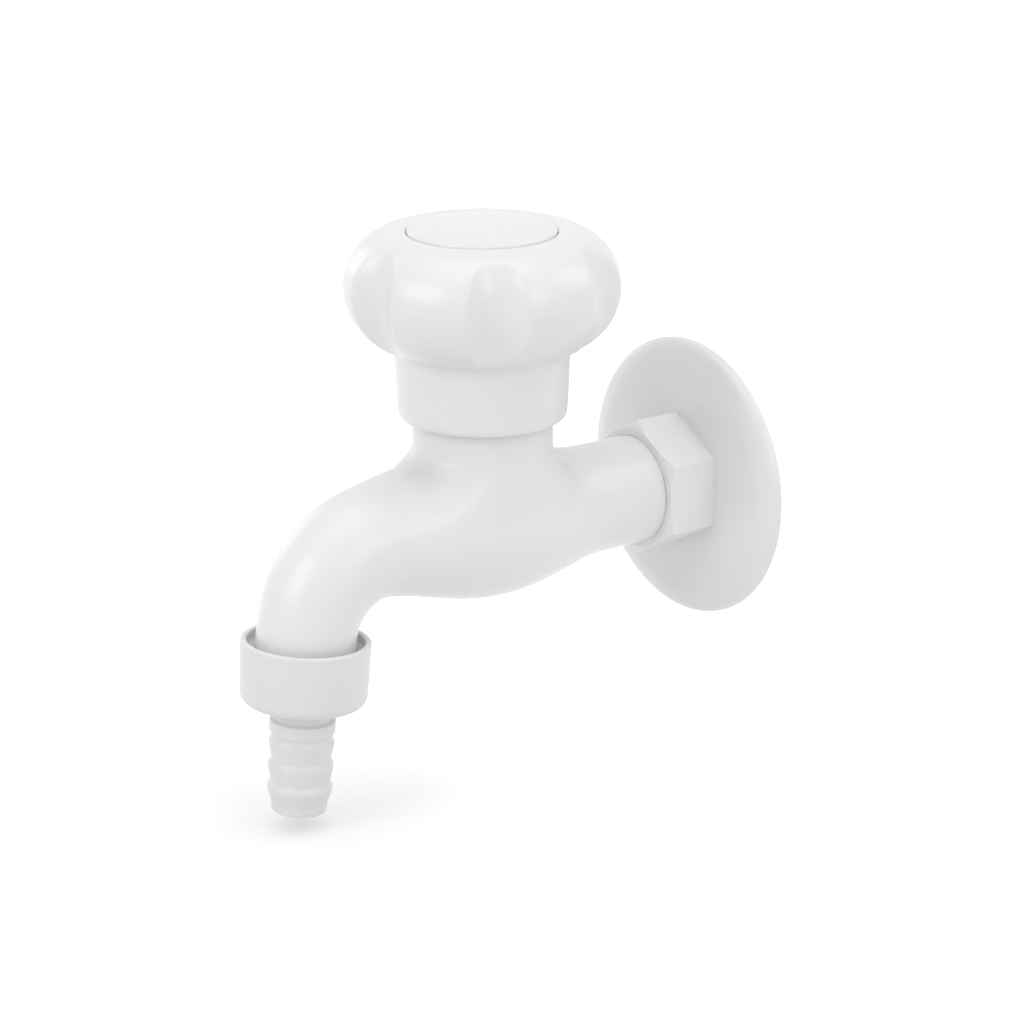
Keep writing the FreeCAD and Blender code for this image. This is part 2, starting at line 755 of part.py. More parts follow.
def make_gland():
    """Packing round the stem, the follower on it and the nut that presses it down."""
    packing = valve_body("gland_packing")
    ring(packing, "Ring", "XZ_Plane", S["stem_radius"] + S["running_gap"], S["packing_radius"],
         packing_bottom, packing_top)
    follower = valve_body("gland_follower")
    ring(follower, "Ring", "XZ_Plane", S["stem_radius"] + S["clear_gap"], S["packing_radius"],
         packing_top, follower_top)
    nut = valve_body("gland_nut")
    skirt_low = follower_top - S["gland_skirt"]
    thread_bore = S["bonnet_chimney_radius"] + S["static_gap"]
    stem_hole = S["stem_radius"] + S["clear_gap"]
    hexagon = new_sketch(nut, "HexagonOutline", "XY_Plane", offset=(0.0, 0.0, skirt_low))
    add_hexagon(hexagon, S["gland_flats"], 0.0)
    feature_on(nut, "Pad", "Hexagon", hexagon, Length=S["gland_skirt"] + S["gland_top"])
    turned(nut, "ThreadBore", "XZ_Plane", [
        (0.0, skirt_low - S["cut_margin"]),
        (thread_bore, skirt_low - S["cut_margin"]),
        (thread_bore, follower_top),
        (stem_hole, follower_top),
        (stem_hole, gland_nut_top + S["cut_margin"]),
        (0.0, gland_nut_top + S["cut_margin"]),
    ], "Groove")
    flat_radius = S["gland_flats"] / 2.0
    corner_radius = S["gland_flats"] / math.sqrt(3.0) + S["clear_gap"]
    turned(nut, "TopChamfer", "XZ_Plane", [
        (flat_radius, gland_nut_top),
        (corner_radius, gland_nut_top),
        (corner_radius, gland_nut_top - S["hex_chamfer"]),
    ], "Groove")


def spline_tooth(body, name, kind, low, high, gap):
    """One spline tooth, or the slot for it, along the valve axis."""
    sketch = new_sketch(body, f"{name}Outline", "XY_Plane", offset=(0.0, 0.0, low))
    tip = S["spline_radius"] + gap
    root = spline_root - S["spline_overlap"]
    half_tip = S["spline_tip_width"] / 2.0 + gap
    half_root = S["spline_root_width"] / 2.0 + gap
    add_outline(sketch, [(root, -half_root), (tip, -half_tip), (tip, half_tip), (root, half_root)])
    return feature_on(body, kind, name, sketch, Length=high - low, Reversed=kind == "Pocket")


def make_spindle():
    """Rising stem: a screwed head in the bonnet, a plain stem and a splined top with a screw hole."""
    body = valve_body("spindle")
    pin_bore = S["jumper_stem"] + S["static_gap"]
    pin_top = disc_top + S["jumper_stem_length"] + S["clear_gap"]
    hole_bottom = screw_seat - S["screw_length"] - S["clear_gap"]
    turned(body, "Stem", "XZ_Plane", [
        (pin_bore, spindle_bottom),
        (S["spindle_head_radius"], spindle_bottom),
        (S["spindle_head_radius"], head_top),
        (S["stem_radius"], head_top),
        (S["stem_radius"], web_underside),
        (spline_root, web_underside),
        (spline_root, spline_top),
        (S["screw_radius"] + S["running_gap"], spline_top),
        (S["screw_radius"] + S["running_gap"], hole_bottom),
        (0.0, hole_bottom),
        (0.0, pin_top),
        (pin_bore, pin_top),
    ])
    tooth = spline_tooth(body, "Tooth", "Pad", web_underside, spline_top, 0.0)
    polar_copies(body, "Teeth", tooth, "Z_Axis", S["spline_count"])


def make_jumper():
    """Disc and stem that the spindle lifts, with the rubber washer and its nut underneath."""
    valve = valve_body("jumper_valve")
    nut_bottom = washer_bottom - S["washer_nut_height"]
    turned(valve, "Disc", "XZ_Plane", [
        (0.0, nut_bottom - S["stud_end"]),
        (S["stud_radius"], nut_bottom - S["stud_end"]),
        (S["stud_radius"], disc_bottom),
        (S["disc_radius"], disc_bottom),
        (S["disc_radius"], disc_top),
        (S["jumper_stem"], disc_top),
        (S["jumper_stem"], disc_top + S["jumper_stem_length"]),
        (0.0, disc_top + S["jumper_stem_length"]),
    ])
    washer = valve_body("valve_washer")
    ring(washer, "Ring", "XZ_Plane", S["stud_radius"] + S["running_gap"], S["washer_radius"],
         washer_bottom, disc_bottom)
    nut = valve_body("washer_nut")
    sketch = new_sketch(nut, "HexagonOutline", "XY_Plane", offset=(0.0, 0.0, nut_bottom))
    add_hexagon(sketch, S["washer_nut_flats"], 0.0)
    add_circle(sketch, 0.0, 0.0, S["stud_radius"] + S["running_gap"])
    feature_on(nut, "Pad", "Hexagon", sketch, Length=S["washer_nut_height"])


def make_knob():
    """Lobed handle with a skirt that hides the headwork, splined on the spindle."""
    body = valve_body("knob")
    low_centre = S["lobe_radius"] - S["lobe_under_round"]
    top_centre = S["lobe_radius"] - S["lobe_top_round"]
    lobe_bottom = lobe_height - S["lobe_under_round"]
    recess = S["cap_radius"] + S["cap_gap"]
    turned(body, "Lobes", "XZ_Plane", [
        (0.0, lobe_bottom),
        (low_centre, lobe_bottom, S["lobe_under_round"]),
        (S["lobe_radius"], lobe_height, S["lobe_top_round"]),
        (top_centre, knob_top),
        (recess, rim_top),
        (0.0, rim_top),
    ])
    pivot = S["flute_floor"] - S["flute_arc"]
    sketch = new_sketch(body, "FluteOutline", "XY_Plane", offset=(0.0, -pivot, lobe_height))
    add_circle(sketch, 0.0, -(S["flute_arc"] + S["flute_radius"]), S["flute_radius"])
    flute = feature_on(body, "Groove", "Flute", sketch, ReferenceAxis=(sketch, ["H_Axis"]),
                       Angle=S["flute_sweep"], Midplane=True)
    polar_copies(body, "Flutes", flute, "Z_Axis", S["flute_count"])
    inside_lobes = lobe_bottom + S["skirt_overlap"]
    turned(body, "Skirt", "XZ_Plane", [
        (0.0, skirt_bottom),
        (S["skirt_bottom_flat"], skirt_bottom, S["skirt_round"]),
        (S["skirt_bottom_radius"], skirt_bottom + S["skirt_round"]),
        (S["skirt_top_radius"], lobe_bottom),
        (S["skirt_top_radius"], inside_lobes),
        (0.0, inside_lobes),
    ])
    above = knob_top + S["cut_margin"]
    below = skirt_bottom - S["cut_margin"]
    bore = spline_root + S["running_gap"]
    turned(body, "Hollow", "XZ_Plane", [
        (0.0, below),
        (S["skirt_bore"], below),
        (S["skirt_bore"], web_underside),
        (bore, web_underside),
        (bore, well_floor),
        (S["well_radius"], well_floor),
        (S["well_radius"], cap_seat),
        (recess, cap_seat),
        (recess, above),
        (0.0, above),
    ], "Groove")
    slot = spline_tooth(body, "Slot", "Pocket", web_underside, well_floor, S["running_gap"])
    polar_copies(body, "Slots", slot, "Z_Axis", S["spline_count"])


def make_knob_cap():
    """Flush domed cap that pushes into the knob's well over the screw."""
    body = valve_body("knob_cap")
    spigot = S["well_radius"] - S["static_gap"]
    spigot_inside = spigot - S["cap_spigot_wall"]
    edge_top = rim_top - S["cap_edge_drop"]
    dome_foot = S["cap_radius"] - S["cap_edge_round"]
    dome_round = (dome_foot * dome_foot + S["cap_dome"] * S["cap_dome"]) / (S["cap_dome"] * 2.0)
    turned(body, "Cap", "XZ_Plane", [
        (0.0, cap_seat),
        (spigot_inside, cap_seat),
        (spigot_inside, cap_seat - S["cap_spigot_depth"]),
        (spigot, cap_seat - S["cap_spigot_depth"]),
        (spigot, cap_seat),
        (S["cap_radius"], cap_seat),
        (S["cap_radius"], edge_top - S["cap_edge_round"], S["cap_edge_round"]),
        (dome_foot, edge_top, dome_round),
        (0.0, edge_top + S["cap_dome"]),
    ])


def make_handle_screw():
    """Round-headed screw with a cross slot that holds the knob on the spindle, and its washer."""
    screw = valve_body("handle_screw")
    turned(screw, "Screw", "XZ_Plane", [
        (0.0, screw_seat - S["screw_length"]),
        (S["screw_radius"] - S["screw_tip_chamfer"], screw_seat - S["screw_length"]),
        (S["screw_radius"], screw_seat - S["screw_length"] + S["screw_tip_chamfer"]),
        (S["screw_radius"], screw_seat),
        (S["screw_head_radius"], screw_seat),
        (S["screw_head_radius"], screw_head_top - S["screw_head_round"], S["screw_head_round"]),
        (S["screw_head_radius"] - S["screw_head_round"], screw_head_top),
        (0.0, screw_head_top),
    ])
    sketch = new_sketch(screw, "SlotOutline", "XY_Plane", offset=(0.0, 0.0, screw_head_top))
    reach = S["screw_slot_reach"]
    half = S["screw_slot"] / 2.0
    add_outline(sketch, [(reach, half), (half, half), (half, reach), (-half, reach), (-half, half),
                         (-reach, half), (-reach, -half), (-half, -half), (-half, -reach), (half, -reach),
                         (half, -half), (reach, -half)])
    feature_on(screw, "Pocket", "Slot", sketch, Length=S["screw_slot_depth"])
    washer = valve_body("screw_washer")
    ring(washer, "Ring", "XZ_Plane", S["screw_radius"] + S["static_gap"], S["screw_washer_radius"],
         well_floor, screw_seat)


def make_coupling_nut():
    """Round nut whose mouth stands clear of the spout and whose floor carries the tail's collar."""
    body = outlet_body("coupling_nut")
    hole = S["tail_neck_radius"] + S["clear_gap"]
    thread_bore = S["thread_crest_radius"] + S["clear_gap"]
    lip = S["nut_lip_round"]
    mouth_floor = nut_lip - S["nut_mouth_depth"]
    turned(body, "Nut", "XZ_Plane", [
        (hole, nut_foot),
        (S["nut_foot_radius"] - S["nut_foot_round"], nut_foot, S["nut_foot_round"]),
        (S["nut_foot_radius"], nut_foot + S["nut_foot_round"]),
        (S["nut_lip_radius"], nut_lip - lip, lip),
        (S["nut_lip_radius"] - lip, nut_lip),
        (S["nut_mouth_radius"], nut_lip - S["nut_lip_slope"]),
        (S["nut_mouth_radius"], mouth_floor),
        (thread_bore, mouth_floor - S["nut_mouth_slope"]),
        (thread_bore, nut_floor_top),
        (hole, nut_floor_top),
    ])


def make_union_washer():
    """Flat rubber washer between the spout's end and the tail's collar."""
    body = outlet_body("union_washer")
    ring(body, "Ring", "XZ_Plane", S["union_washer_bore"], S["collar_radius"], union_bottom, union_top)


def make_hose_tail():
    """Barbed tail hanging by its collar on the nut's floor, with the waterway through it."""
    body = outlet_body("hose_tail")
    collar_top = union_bottom - S["static_gap"]
    collar_bottom = nut_floor_top + S["static_gap"]
    corners = [
        (S["tail_bore"], collar_top),
        (S["tail_bore"], nut_lip - S["tail_length"]),
        (S["tail_end_radius"], nut_lip - S["tail_length"]),
        (S["tail_end_radius"], nut_lip - S["tail_length"] + S["tail_end_land"]),
    ]
    for i in reversed(range(int(S["barb_count"].number))):
        crest = nut_lip - S["first_barb"] - S["barb_pitch"] * float(i)
        corners.append((S["barb_radius"], crest - S["barb_land"] / 2.0))
        corners.append((S["barb_radius"], crest + S["barb_land"] / 2.0))
        corners.append((S["barb_root_radius"], crest + S["barb_land"] / 2.0 + S["barb_back"]))
    corners += [
        (S["tail_neck_radius"], nut_foot - S["clear_gap"]),
        (S["tail_neck_radius"], collar_bottom),
        (S["collar_radius"], collar_bottom),
        (S["collar_radius"], collar_top),
    ]
    turned(body, "Tail", "XZ_Plane", corners)


def write_parts():
    """Check every object, then write one file for each node."""
    doc.recompute()
    for thing in doc.Objects:
        if "Invalid" in thing.State or "Error" in thing.State:
            raise RuntimeError(f"{thing.Name} failed: {thing.State}")
    os.makedirs("parts", exist_ok=True)
    for node in NODES:
        shape = node.Shape
        if shape.isNull() or not shape.isValid() or len(shape.Solids) != 1:
            raise RuntimeError(f"{node.Label} has no single valid solid")
    for node in NODES:
        node.Shape.exportStep(f"parts/{node.Label}.step")
        print(f"{node.Label}: {node.Shape.Volume:.1f} mm3")


make_tap_body()
make_inlet_connector()
make_connector_o_ring()
make_wall_flange()
make_bonnet()
make_bonnet_washer()
make_gland()
make_spindle()
make_jumper()
make_knob()
make_knob_cap()
make_handle_screw()
make_coupling_nut()
make_union_washer()
make_hose_tail()
write_parts()
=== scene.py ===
import json
import math

import bmesh
import bpy
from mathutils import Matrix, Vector


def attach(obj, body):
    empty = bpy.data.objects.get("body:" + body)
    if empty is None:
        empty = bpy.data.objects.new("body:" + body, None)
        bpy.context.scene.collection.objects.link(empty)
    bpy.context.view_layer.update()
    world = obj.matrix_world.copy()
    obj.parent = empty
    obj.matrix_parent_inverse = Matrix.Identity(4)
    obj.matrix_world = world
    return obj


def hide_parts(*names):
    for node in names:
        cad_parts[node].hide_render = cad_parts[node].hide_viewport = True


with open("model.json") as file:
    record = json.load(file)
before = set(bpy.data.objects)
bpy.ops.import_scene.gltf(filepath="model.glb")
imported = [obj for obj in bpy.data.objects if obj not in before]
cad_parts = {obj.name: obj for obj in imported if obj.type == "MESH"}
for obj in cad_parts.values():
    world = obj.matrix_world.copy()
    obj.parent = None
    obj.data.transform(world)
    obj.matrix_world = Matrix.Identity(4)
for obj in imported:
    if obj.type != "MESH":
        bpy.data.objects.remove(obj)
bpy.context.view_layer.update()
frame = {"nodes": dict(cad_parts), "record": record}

nodes = frame["nodes"]

# All sizes are in millimetres and become metres where an object is made.
MM = 0.001
VALVE_Y = -58.5
OUTLET_TILT = 4.0
BEND_START = 28.1
BEND_RADIUS = 18.6
SPOUT_HEIGHT = 2.2
BEND_ANGLE = 90.0 - OUTLET_TILT
OUTLET_Y = VALVE_Y - BEND_START - BEND_RADIUS * math.sin(math.radians(BEND_ANGLE))
OUTLET_Z = SPOUT_HEIGHT - BEND_RADIUS * (1.0 - math.cos(math.radians(BEND_ANGLE)))
TURN_STEPS = 128

# Points nearer to each other than this are merged.
MERGE_DISTANCE = 0.004
# Edges blunter than these angles, in degrees, are shaded smooth.
MOULDED_CREASE = 40.0
TURNED_CREASE = 30.0
HEXAGON_CREASE = 28.0

# Places of a colour mix's sockets, as Blender numbers them.
MIX_FIRST = 6
MIX_SECOND = 7
MIX_RESULT = 2


# Selecting and shaping

def only(obj):
    """Make this object the one that is selected and active."""
    bpy.ops.object.select_all(action="DESELECT")
    obj.select_set(True)
    bpy.context.view_layer.objects.active = obj


def pick(obj, wanted, what="verts"):
    """In edit mode, select just the elements for which wanted(element) is true."""
    modes = {"verts": "VERT", "edges": "EDGE", "faces": "FACE"}
    bpy.ops.mesh.select_mode(type=modes[what])
    bpy.ops.mesh.select_all(action="DESELECT")
    mesh = bmesh.from_edit_mesh(obj.data)
    count = 0
    for element in getattr(mesh, what):
        if wanted(element):
            element.select_set(True)
            count += 1
    mesh.select_flush_mode()
    bmesh.update_edit_mesh(obj.data)
    return count


def middle(element):
    """The middle of an edge or a face, in millimetres."""
    points = [v.co for v in element.verts]
    return sum(points, Vector()) / len(points) / MM


def close_up():
    """Merge doubles and turn all faces outwards, then leave edit mode."""
    bpy.ops.mesh.select_all(action="SELECT")
    bpy.ops.mesh.remove_doubles(threshold=MERGE_DISTANCE * MM)
    bpy.ops.mesh.normals_make_consistent(inside=False)
    bpy.ops.object.mode_set(mode="OBJECT")


def smoothed(obj, angle):
    """Smooth shading with the sharp edges kept."""
    only(obj)
    bpy.ops.object.shade_smooth_by_angle(angle=math.radians(angle))


def finish_modifier(obj, kind, **settings):
    """Add one modifier, set it and apply it."""
    only(obj)
    bpy.ops.object.modifier_add(type=kind)
    modifier = obj.modifiers[-1]
    for key, value in settings.items():
        setattr(modifier, key, value)
    bpy.ops.object.modifier_apply(modifier=modifier.name)


def place(obj, turn_x=0.0, y=0.0, z=0.0):
    """Turn a piece about X, move it to its place and apply both to its mesh."""
    only(obj)
    obj.rotation_euler = (math.radians(turn_x), 0.0, 0.0)
    obj.location = (0.0, y * MM, z * MM)
    bpy.ops.object.transform_apply(location=True, rotation=True, scale=True)


def rounded(corners):
    """Points of a closed section with (radius, height, round) corners, each round as a short arc."""
    points = []
    count = len(corners)
    for i, corner in enumerate(corners):
        here = Vector(corner[:2])
        size = corner[2] if len(corner) > 2 else 0.0
        if size <= 0.0:
            points.append(here)
            continue
        before = (Vector(corners[i - 1][:2]) - here).normalized()
        after = (Vector(corners[(i + 1) % count][:2]) - here).normalized()
        half = before.angle(after) / 2.0
        reach = size / math.tan(half)
        centre = here + (before + after).normalized() * (size / math.sin(half))
        first = here + before * reach - centre
        last = here + after * reach - centre
        sweep = first.angle(last)
        steps = max(3, int(math.degrees(sweep) / 12.0))
        for k in range(steps + 1):
            share = k / steps
            blend = math.sin((1.0 - share) * sweep) * first + math.sin(share * sweep) * last
            points.append(centre + blend / math.sin(sweep))
    return points


def lathe(name, corners, steps=TURN_STEPS):
    """Draw a closed section vertex by vertex and spin it about the Z axis."""
    points = rounded(corners)
    bpy.ops.object.select_all(action="DESELECT")
    bpy.ops.mesh.primitive_plane_add(size=MM)
    obj = bpy.context.active_object
    obj.name = name
    bpy.ops.object.mode_set(mode="EDIT")
    bpy.ops.mesh.select_all(action="SELECT")
    bpy.ops.mesh.merge(type="CENTER")
    here = points[0]
    bpy.ops.transform.translate(value=(here.x * MM, 0.0, here.y * MM))
    for point in points[1:]:
        step = point - here
        bpy.ops.mesh.extrude_vertices_move(
            TRANSFORM_OT_translate={"value": (step.x * MM, 0.0, step.y * MM)})
        here = point
    bpy.ops.mesh.select_all(action="DESELECT")
    mesh = bmesh.from_edit_mesh(obj.data)
    mesh.verts.ensure_lookup_table()
    for end in (mesh.verts[0], mesh.verts[-1]):
        end.select_set(True)
    bmesh.update_edit_mesh(obj.data)
    bpy.ops.mesh.edge_face_add()
    bpy.ops.mesh.select_all(action="SELECT")
    bpy.ops.mesh.spin(steps=steps, angle=2.0 * math.pi, center=(0.0, 0.0, 0.0), axis=(0.0, 0.0, 1.0))
    close_up()
    return obj


# The moulded body

BODY_RING = 16
BODY_GROW = 1.0 / ((4.0 + 2.0 * math.cos(2.0 * math.pi / BODY_RING)) / 6.0)
NECK_RING = 22
NECK_GROW = 1.0 / ((4.0 + 2.0 * math.cos(2.0 * math.pi / NECK_RING)) / 6.0)
NECK_RADIUS = 15.2
NECK_FOOT = 17.6
PATCH_BACK = 18.6
PATCH_FRONT = -21.5
PATCH_SIDE = 68.0
# Rings of the body nearer to the pipe's axis than this belong to its bores.
BORE_LIMIT = 11.0
# The neck stands within this distance of the valve axis.
NECK_REACH = 30.0
# How far the fillet's two rings stand out from the neck's wall, as shares of the way to the hole's rim.
FILLET_NEAR = 0.2
FILLET_FAR = 0.56
# How far the inner ring may stay above the bulb's own surface.
FILLET_LIFT = 1.5
# The fillet fades in between two directions, given as the part of the way that lies along the pipe.
FADE_TO_SPOUT = (0.60, 1.0)
FADE_TO_WALL = (0.72, 1.0)

# Stations along the pipe and bulb: distance from the valve axis towards the wall, rise, radius.
BULB = [
    (41.3, 0.0, 12.1), (37.0, 0.0, 12.1), (32.0, 0.0, 12.1), (26.5, 0.05, 12.15), (22.6, 0.0, 12.75),
    (PATCH_BACK, -0.1, 13.55), (9.5, -0.3, 15.4), (1.0, -0.2, 16.05), (-7.0, 0.55, 16.0),
    (-14.5, 1.65, 15.2), (PATCH_FRONT, 2.25, 13.8), (-BEND_START, SPOUT_HEIGHT, 12.6),
]
# Stations round the bend: degrees from the level, radius.
BEND = [(16.0, 12.3), (33.0, 11.9), (50.0, 11.45), (68.0, 11.05), (86.0, 10.78)]
# Stations from the spigot's socket out to the pipe's rounded end: distance from the valve axis, radius.
SOCKET = [(30.0, 9.75), (41.9, 9.75), (42.0, 10.1), (42.0, 11.6), (41.9, 12.0)]
# Stations down the outlet, over its end and up into its bore: distance from the bend's end, radius.
OUTLET = [
    (3.1, 10.75), (3.4, 10.65), (3.5, 10.3), (6.0, 10.3), (9.9, 10.3), (10.15, 10.1), (10.2, 9.6),
    (10.2, 7.9), (10.1, 7.5), (3.0, 7.5), (0.0, 7.5),
]
# Rings up the neck, over its rim and down into its bore: height, radius.
NECK = [
    (19.4, 15.2), (24.0, 15.2), (32.0, 15.2), (32.8, 15.2), (33.0, 15.0), (33.0, 12.4), (32.9, 12.05),
    (31.5, 12.0), (21.0, 12.0), (20.2, 11.0), (9.5, 11.0), (9.0, 10.6),
]


def down_outlet(distance):
    """Y and Z of a point this far down the outlet from the end of the bend."""
    tilt = math.radians(OUTLET_TILT)
    return OUTLET_Y - distance * math.sin(tilt), OUTLET_Z - distance * math.cos(tilt)


def body_rings():
    """Every ring of the body's cage as (y, z, radius, turn in degrees), from the wall to the spout."""
    rings = [(VALVE_Y + station, 0.0, radius, 0.0) for station, radius in SOCKET]
    rings += [(VALVE_Y + station, rise, radius, 0.0) for station, rise, radius in BULB]
    for angle, radius in BEND:
        turn = math.radians(angle)
        y = VALVE_Y - BEND_START - BEND_RADIUS * math.sin(turn)
        z = SPOUT_HEIGHT - BEND_RADIUS * (1.0 - math.cos(turn))
        rings.append((y, z, radius, angle))
    for distance, radius in OUTLET:
        y, z = down_outlet(distance)
        rings.append((y, z, radius, BEND_ANGLE))
    return rings


def make_body():
    """One cage of rings from the pipe to the spout, a neck bridged onto its top, then subdivided."""
    rings = body_rings()
    first_y, first_z, first_radius, _ = rings[0]
    bpy.ops.object.select_all(action="DESELECT")
    bpy.ops.mesh.primitive_circle_add(vertices=BODY_RING, radius=first_radius * BODY_GROW * MM,
                                      fill_type="NGON", location=(0.0, 0.0, 0.0),
                                      rotation=(math.radians(90.0), 0.0, 0.0))
    body = bpy.context.active_object
    body.name = "body_shell"
    bpy.ops.object.transform_apply(location=True, rotation=True, scale=True)
    bpy.ops.object.mode_set(mode="EDIT")
    bpy.ops.mesh.select_all(action="SELECT")
    bpy.ops.transform.translate(value=(0.0, first_y * MM, first_z * MM))
    here = (first_y, first_z, first_radius, 0.0)
    for y, z, radius, turn in rings[1:]:
        bpy.ops.mesh.extrude_region_move(
            TRANSFORM_OT_translate={"value": (0.0, (y - here[0]) * MM, (z - here[1]) * MM)})
        centre = Vector((0.0, y * MM, z * MM))
        if turn != here[3]:
            turn_down(turn - here[3], centre)
        if radius != here[2]:
            factor = radius / here[2]
            bpy.ops.transform.resize(value=(factor, factor, factor), center_override=centre)
        here = (y, z, radius, turn)
    open_neck_patch(body)
    raise_neck(body)
    close_up()
    finish_modifier(body, "SUBSURF", levels=3, render_levels=3)
    smoothed(body, MOULDED_CREASE)
    return body


def turn_down(degrees, centre):
    """Turn the selected ring about X from facing along -Y towards facing down.

    With no window open, transform.rotate turns the other way, hence the minus sign."""
    bpy.ops.transform.rotate(value=-math.radians(degrees), orient_axis="X", center_override=centre)


def open_neck_patch(body):
    """Delete the faces on top of the bulb where the neck will stand."""
    def under_neck(face):
        point = middle(face)
        station = point.y - VALVE_Y
        side = math.degrees(math.atan2(abs(point.x), point.z))
        outside = math.hypot(point.x, point.z) > BORE_LIMIT
        return PATCH_FRONT < station < PATCH_BACK and side < PATCH_SIDE and outside
    pick(body, under_neck, "faces")
    bpy.ops.mesh.delete(type="FACE")


def raise_neck(body):
    """Add the neck's first ring, bridge it to the hole's rim, then extrude it up and over into its bore."""
    radius = NECK_RADIUS * NECK_GROW
    height = NECK_FOOT
    bpy.ops.mesh.select_mode(type="VERT")
    bpy.ops.mesh.select_all(action="DESELECT")
    bpy.ops.mesh.primitive_circle_add(vertices=NECK_RING, radius=radius * MM,
                                      location=(0.0, VALVE_Y * MM, height * MM))
    for next_height, size in NECK:
        bpy.ops.mesh.extrude_region_move(
            TRANSFORM_OT_translate={"value": (0.0, 0.0, (next_height - height) * MM)})
        factor = size * NECK_GROW / radius
        bpy.ops.transform.resize(value=(factor, factor, 1.0),
                                 center_override=(0.0, VALVE_Y * MM, next_height * MM))
        height, radius = next_height, size * NECK_GROW
    bpy.ops.mesh.edge_face_add()

    def on_rim(edge):
        point = middle(edge)
        return edge.is_boundary and point.z > 0.0 and abs(point.y - VALVE_Y) < NECK_REACH
    pick(body, on_rim, "edges")
    count = len(bmesh.from_edit_mesh(body.data).verts)
    bpy.ops.mesh.bridge_edge_loops(number_cuts=2, interpolation="LINEAR")
    shape_fillet(body, count)


def bulb_top(x, station):
    """Height of the bulb's own surface over this place, or None beside it."""
    table = sorted(BULB)
    for (low, low_rise, low_radius), (high, high_rise, high_radius) in zip(table, table[1:]):
        if low <= station <= high:
            share = (station - low) / (high - low)
            radius = low_radius + share * (high_radius - low_radius)
            if abs(x) >= radius:
                return None
            return low_rise + share * (high_rise - low_rise) + math.sqrt(radius * radius - x * x)
    return None


def shape_fillet(body, count):
    """Move the two rings cut between neck and rim to make a short fillet, then smooth them.

    The two rings are the points whose numbers start at count."""
    mesh = bmesh.from_edit_mesh(body.data)
    mesh.verts.ensure_lookup_table()
    moves = {}
    for vert in mesh.verts:
        if vert.index < count:
            continue
        old = [edge.other_vert(vert) for edge in vert.link_edges if edge.other_vert(vert).index < count]
        near = old[0]
        new = [edge.other_vert(vert) for edge in vert.link_edges if edge.other_vert(vert).index >= count]
        away = [other for other in new
                if any(edge.other_vert(other).index < count for edge in other.link_edges)]
        opposite = min(away, key=lambda other: abs((other.co - vert.co).normalized().dot(
            (near.co - vert.co).normalized()) + 1.0))
        far = next(edge.other_vert(opposite) for edge in opposite.link_edges
                   if edge.other_vert(opposite).index < count)
        by_neck = near.co.z > far.co.z and abs(near.co.z / MM - NECK_FOOT) < MERGE_DISTANCE
        wall, rim = (near, far) if by_neck else (far, near)
        share = FILLET_NEAR if by_neck else FILLET_FAR
        place_mm = (wall.co + (rim.co - wall.co) * share) / MM
        station = place_mm.y - VALVE_Y
        top = bulb_top(place_mm.x, station)
        if top is not None and top < place_mm.z:
            ahead = abs(station) / math.hypot(place_mm.x, station)
            side, full = FADE_TO_WALL if station > 0.0 else FADE_TO_SPOUT
            share = min(1.0, max(0.0, (ahead - side) / (full - side)))
            drop = place_mm.z - top - (FILLET_LIFT if by_neck else 0.0)
            place_mm.z -= max(0.0, drop) * share * share * (3.0 - 2.0 * share)
        moves[vert.index] = place_mm * MM - vert.co
    for index, move in moves.items():
        pick_numbers(body, [index])
        bpy.ops.transform.translate(value=move)
    pick_numbers(body, list(moves))
    bpy.ops.mesh.vertices_smooth(factor=0.5, repeat=2)


# The handle

FLUTE_COUNT = 6
FLUTE_PITCH = 360.0 / FLUTE_COUNT
KNOB_COLUMNS = 18
KNOB_RING = FLUTE_COUNT * KNOB_COLUMNS
COLUMN = FLUTE_PITCH / KNOB_COLUMNS
KNOB_GROW = 1.0 / ((4.0 + 2.0 * math.cos(math.radians(COLUMN))) / 6.0)
LOBE_HEIGHT = 53.8
LOBE_RADIUS = 29.8
LOBE_TOP_ROUND = 12.0
LOBE_UNDER_ROUND = 14.0
# The mould's parting line round the lobes.
LINE_HALF = 0.25
LINE_RISE = 0.06
RIM_TOP = 65.4
RIM_RADIUS = 16.15
WELL_RADIUS = 6.5
WELL_FLOOR = 59.5
CAP_SEAT = 63.0
CAP_RADIUS = 16.07
CAP_EDGE = 65.95
CAP_TOP = 68.0
SPIGOT_END = 61.2

# The round tool that hollows a flute swings about a level line this far out, at the lobes' height.
FLUTE_PIVOT = 4.8
FLUTE_ARC = 21.2
FLUTE_RADIUS = 8.8
# How much the shoulders of a flute are rounded off, in millimetres.
EDGE_SINK = 0.13
# Half width of the band of columns kept for a flute where it is narrow, in degrees.
FLUTE_LEAST = 7.0
# Degrees from the flute's edge to the two columns that shape its shoulder.
SHOULDER_START = 1.2
SHOULDER_END = 3.8


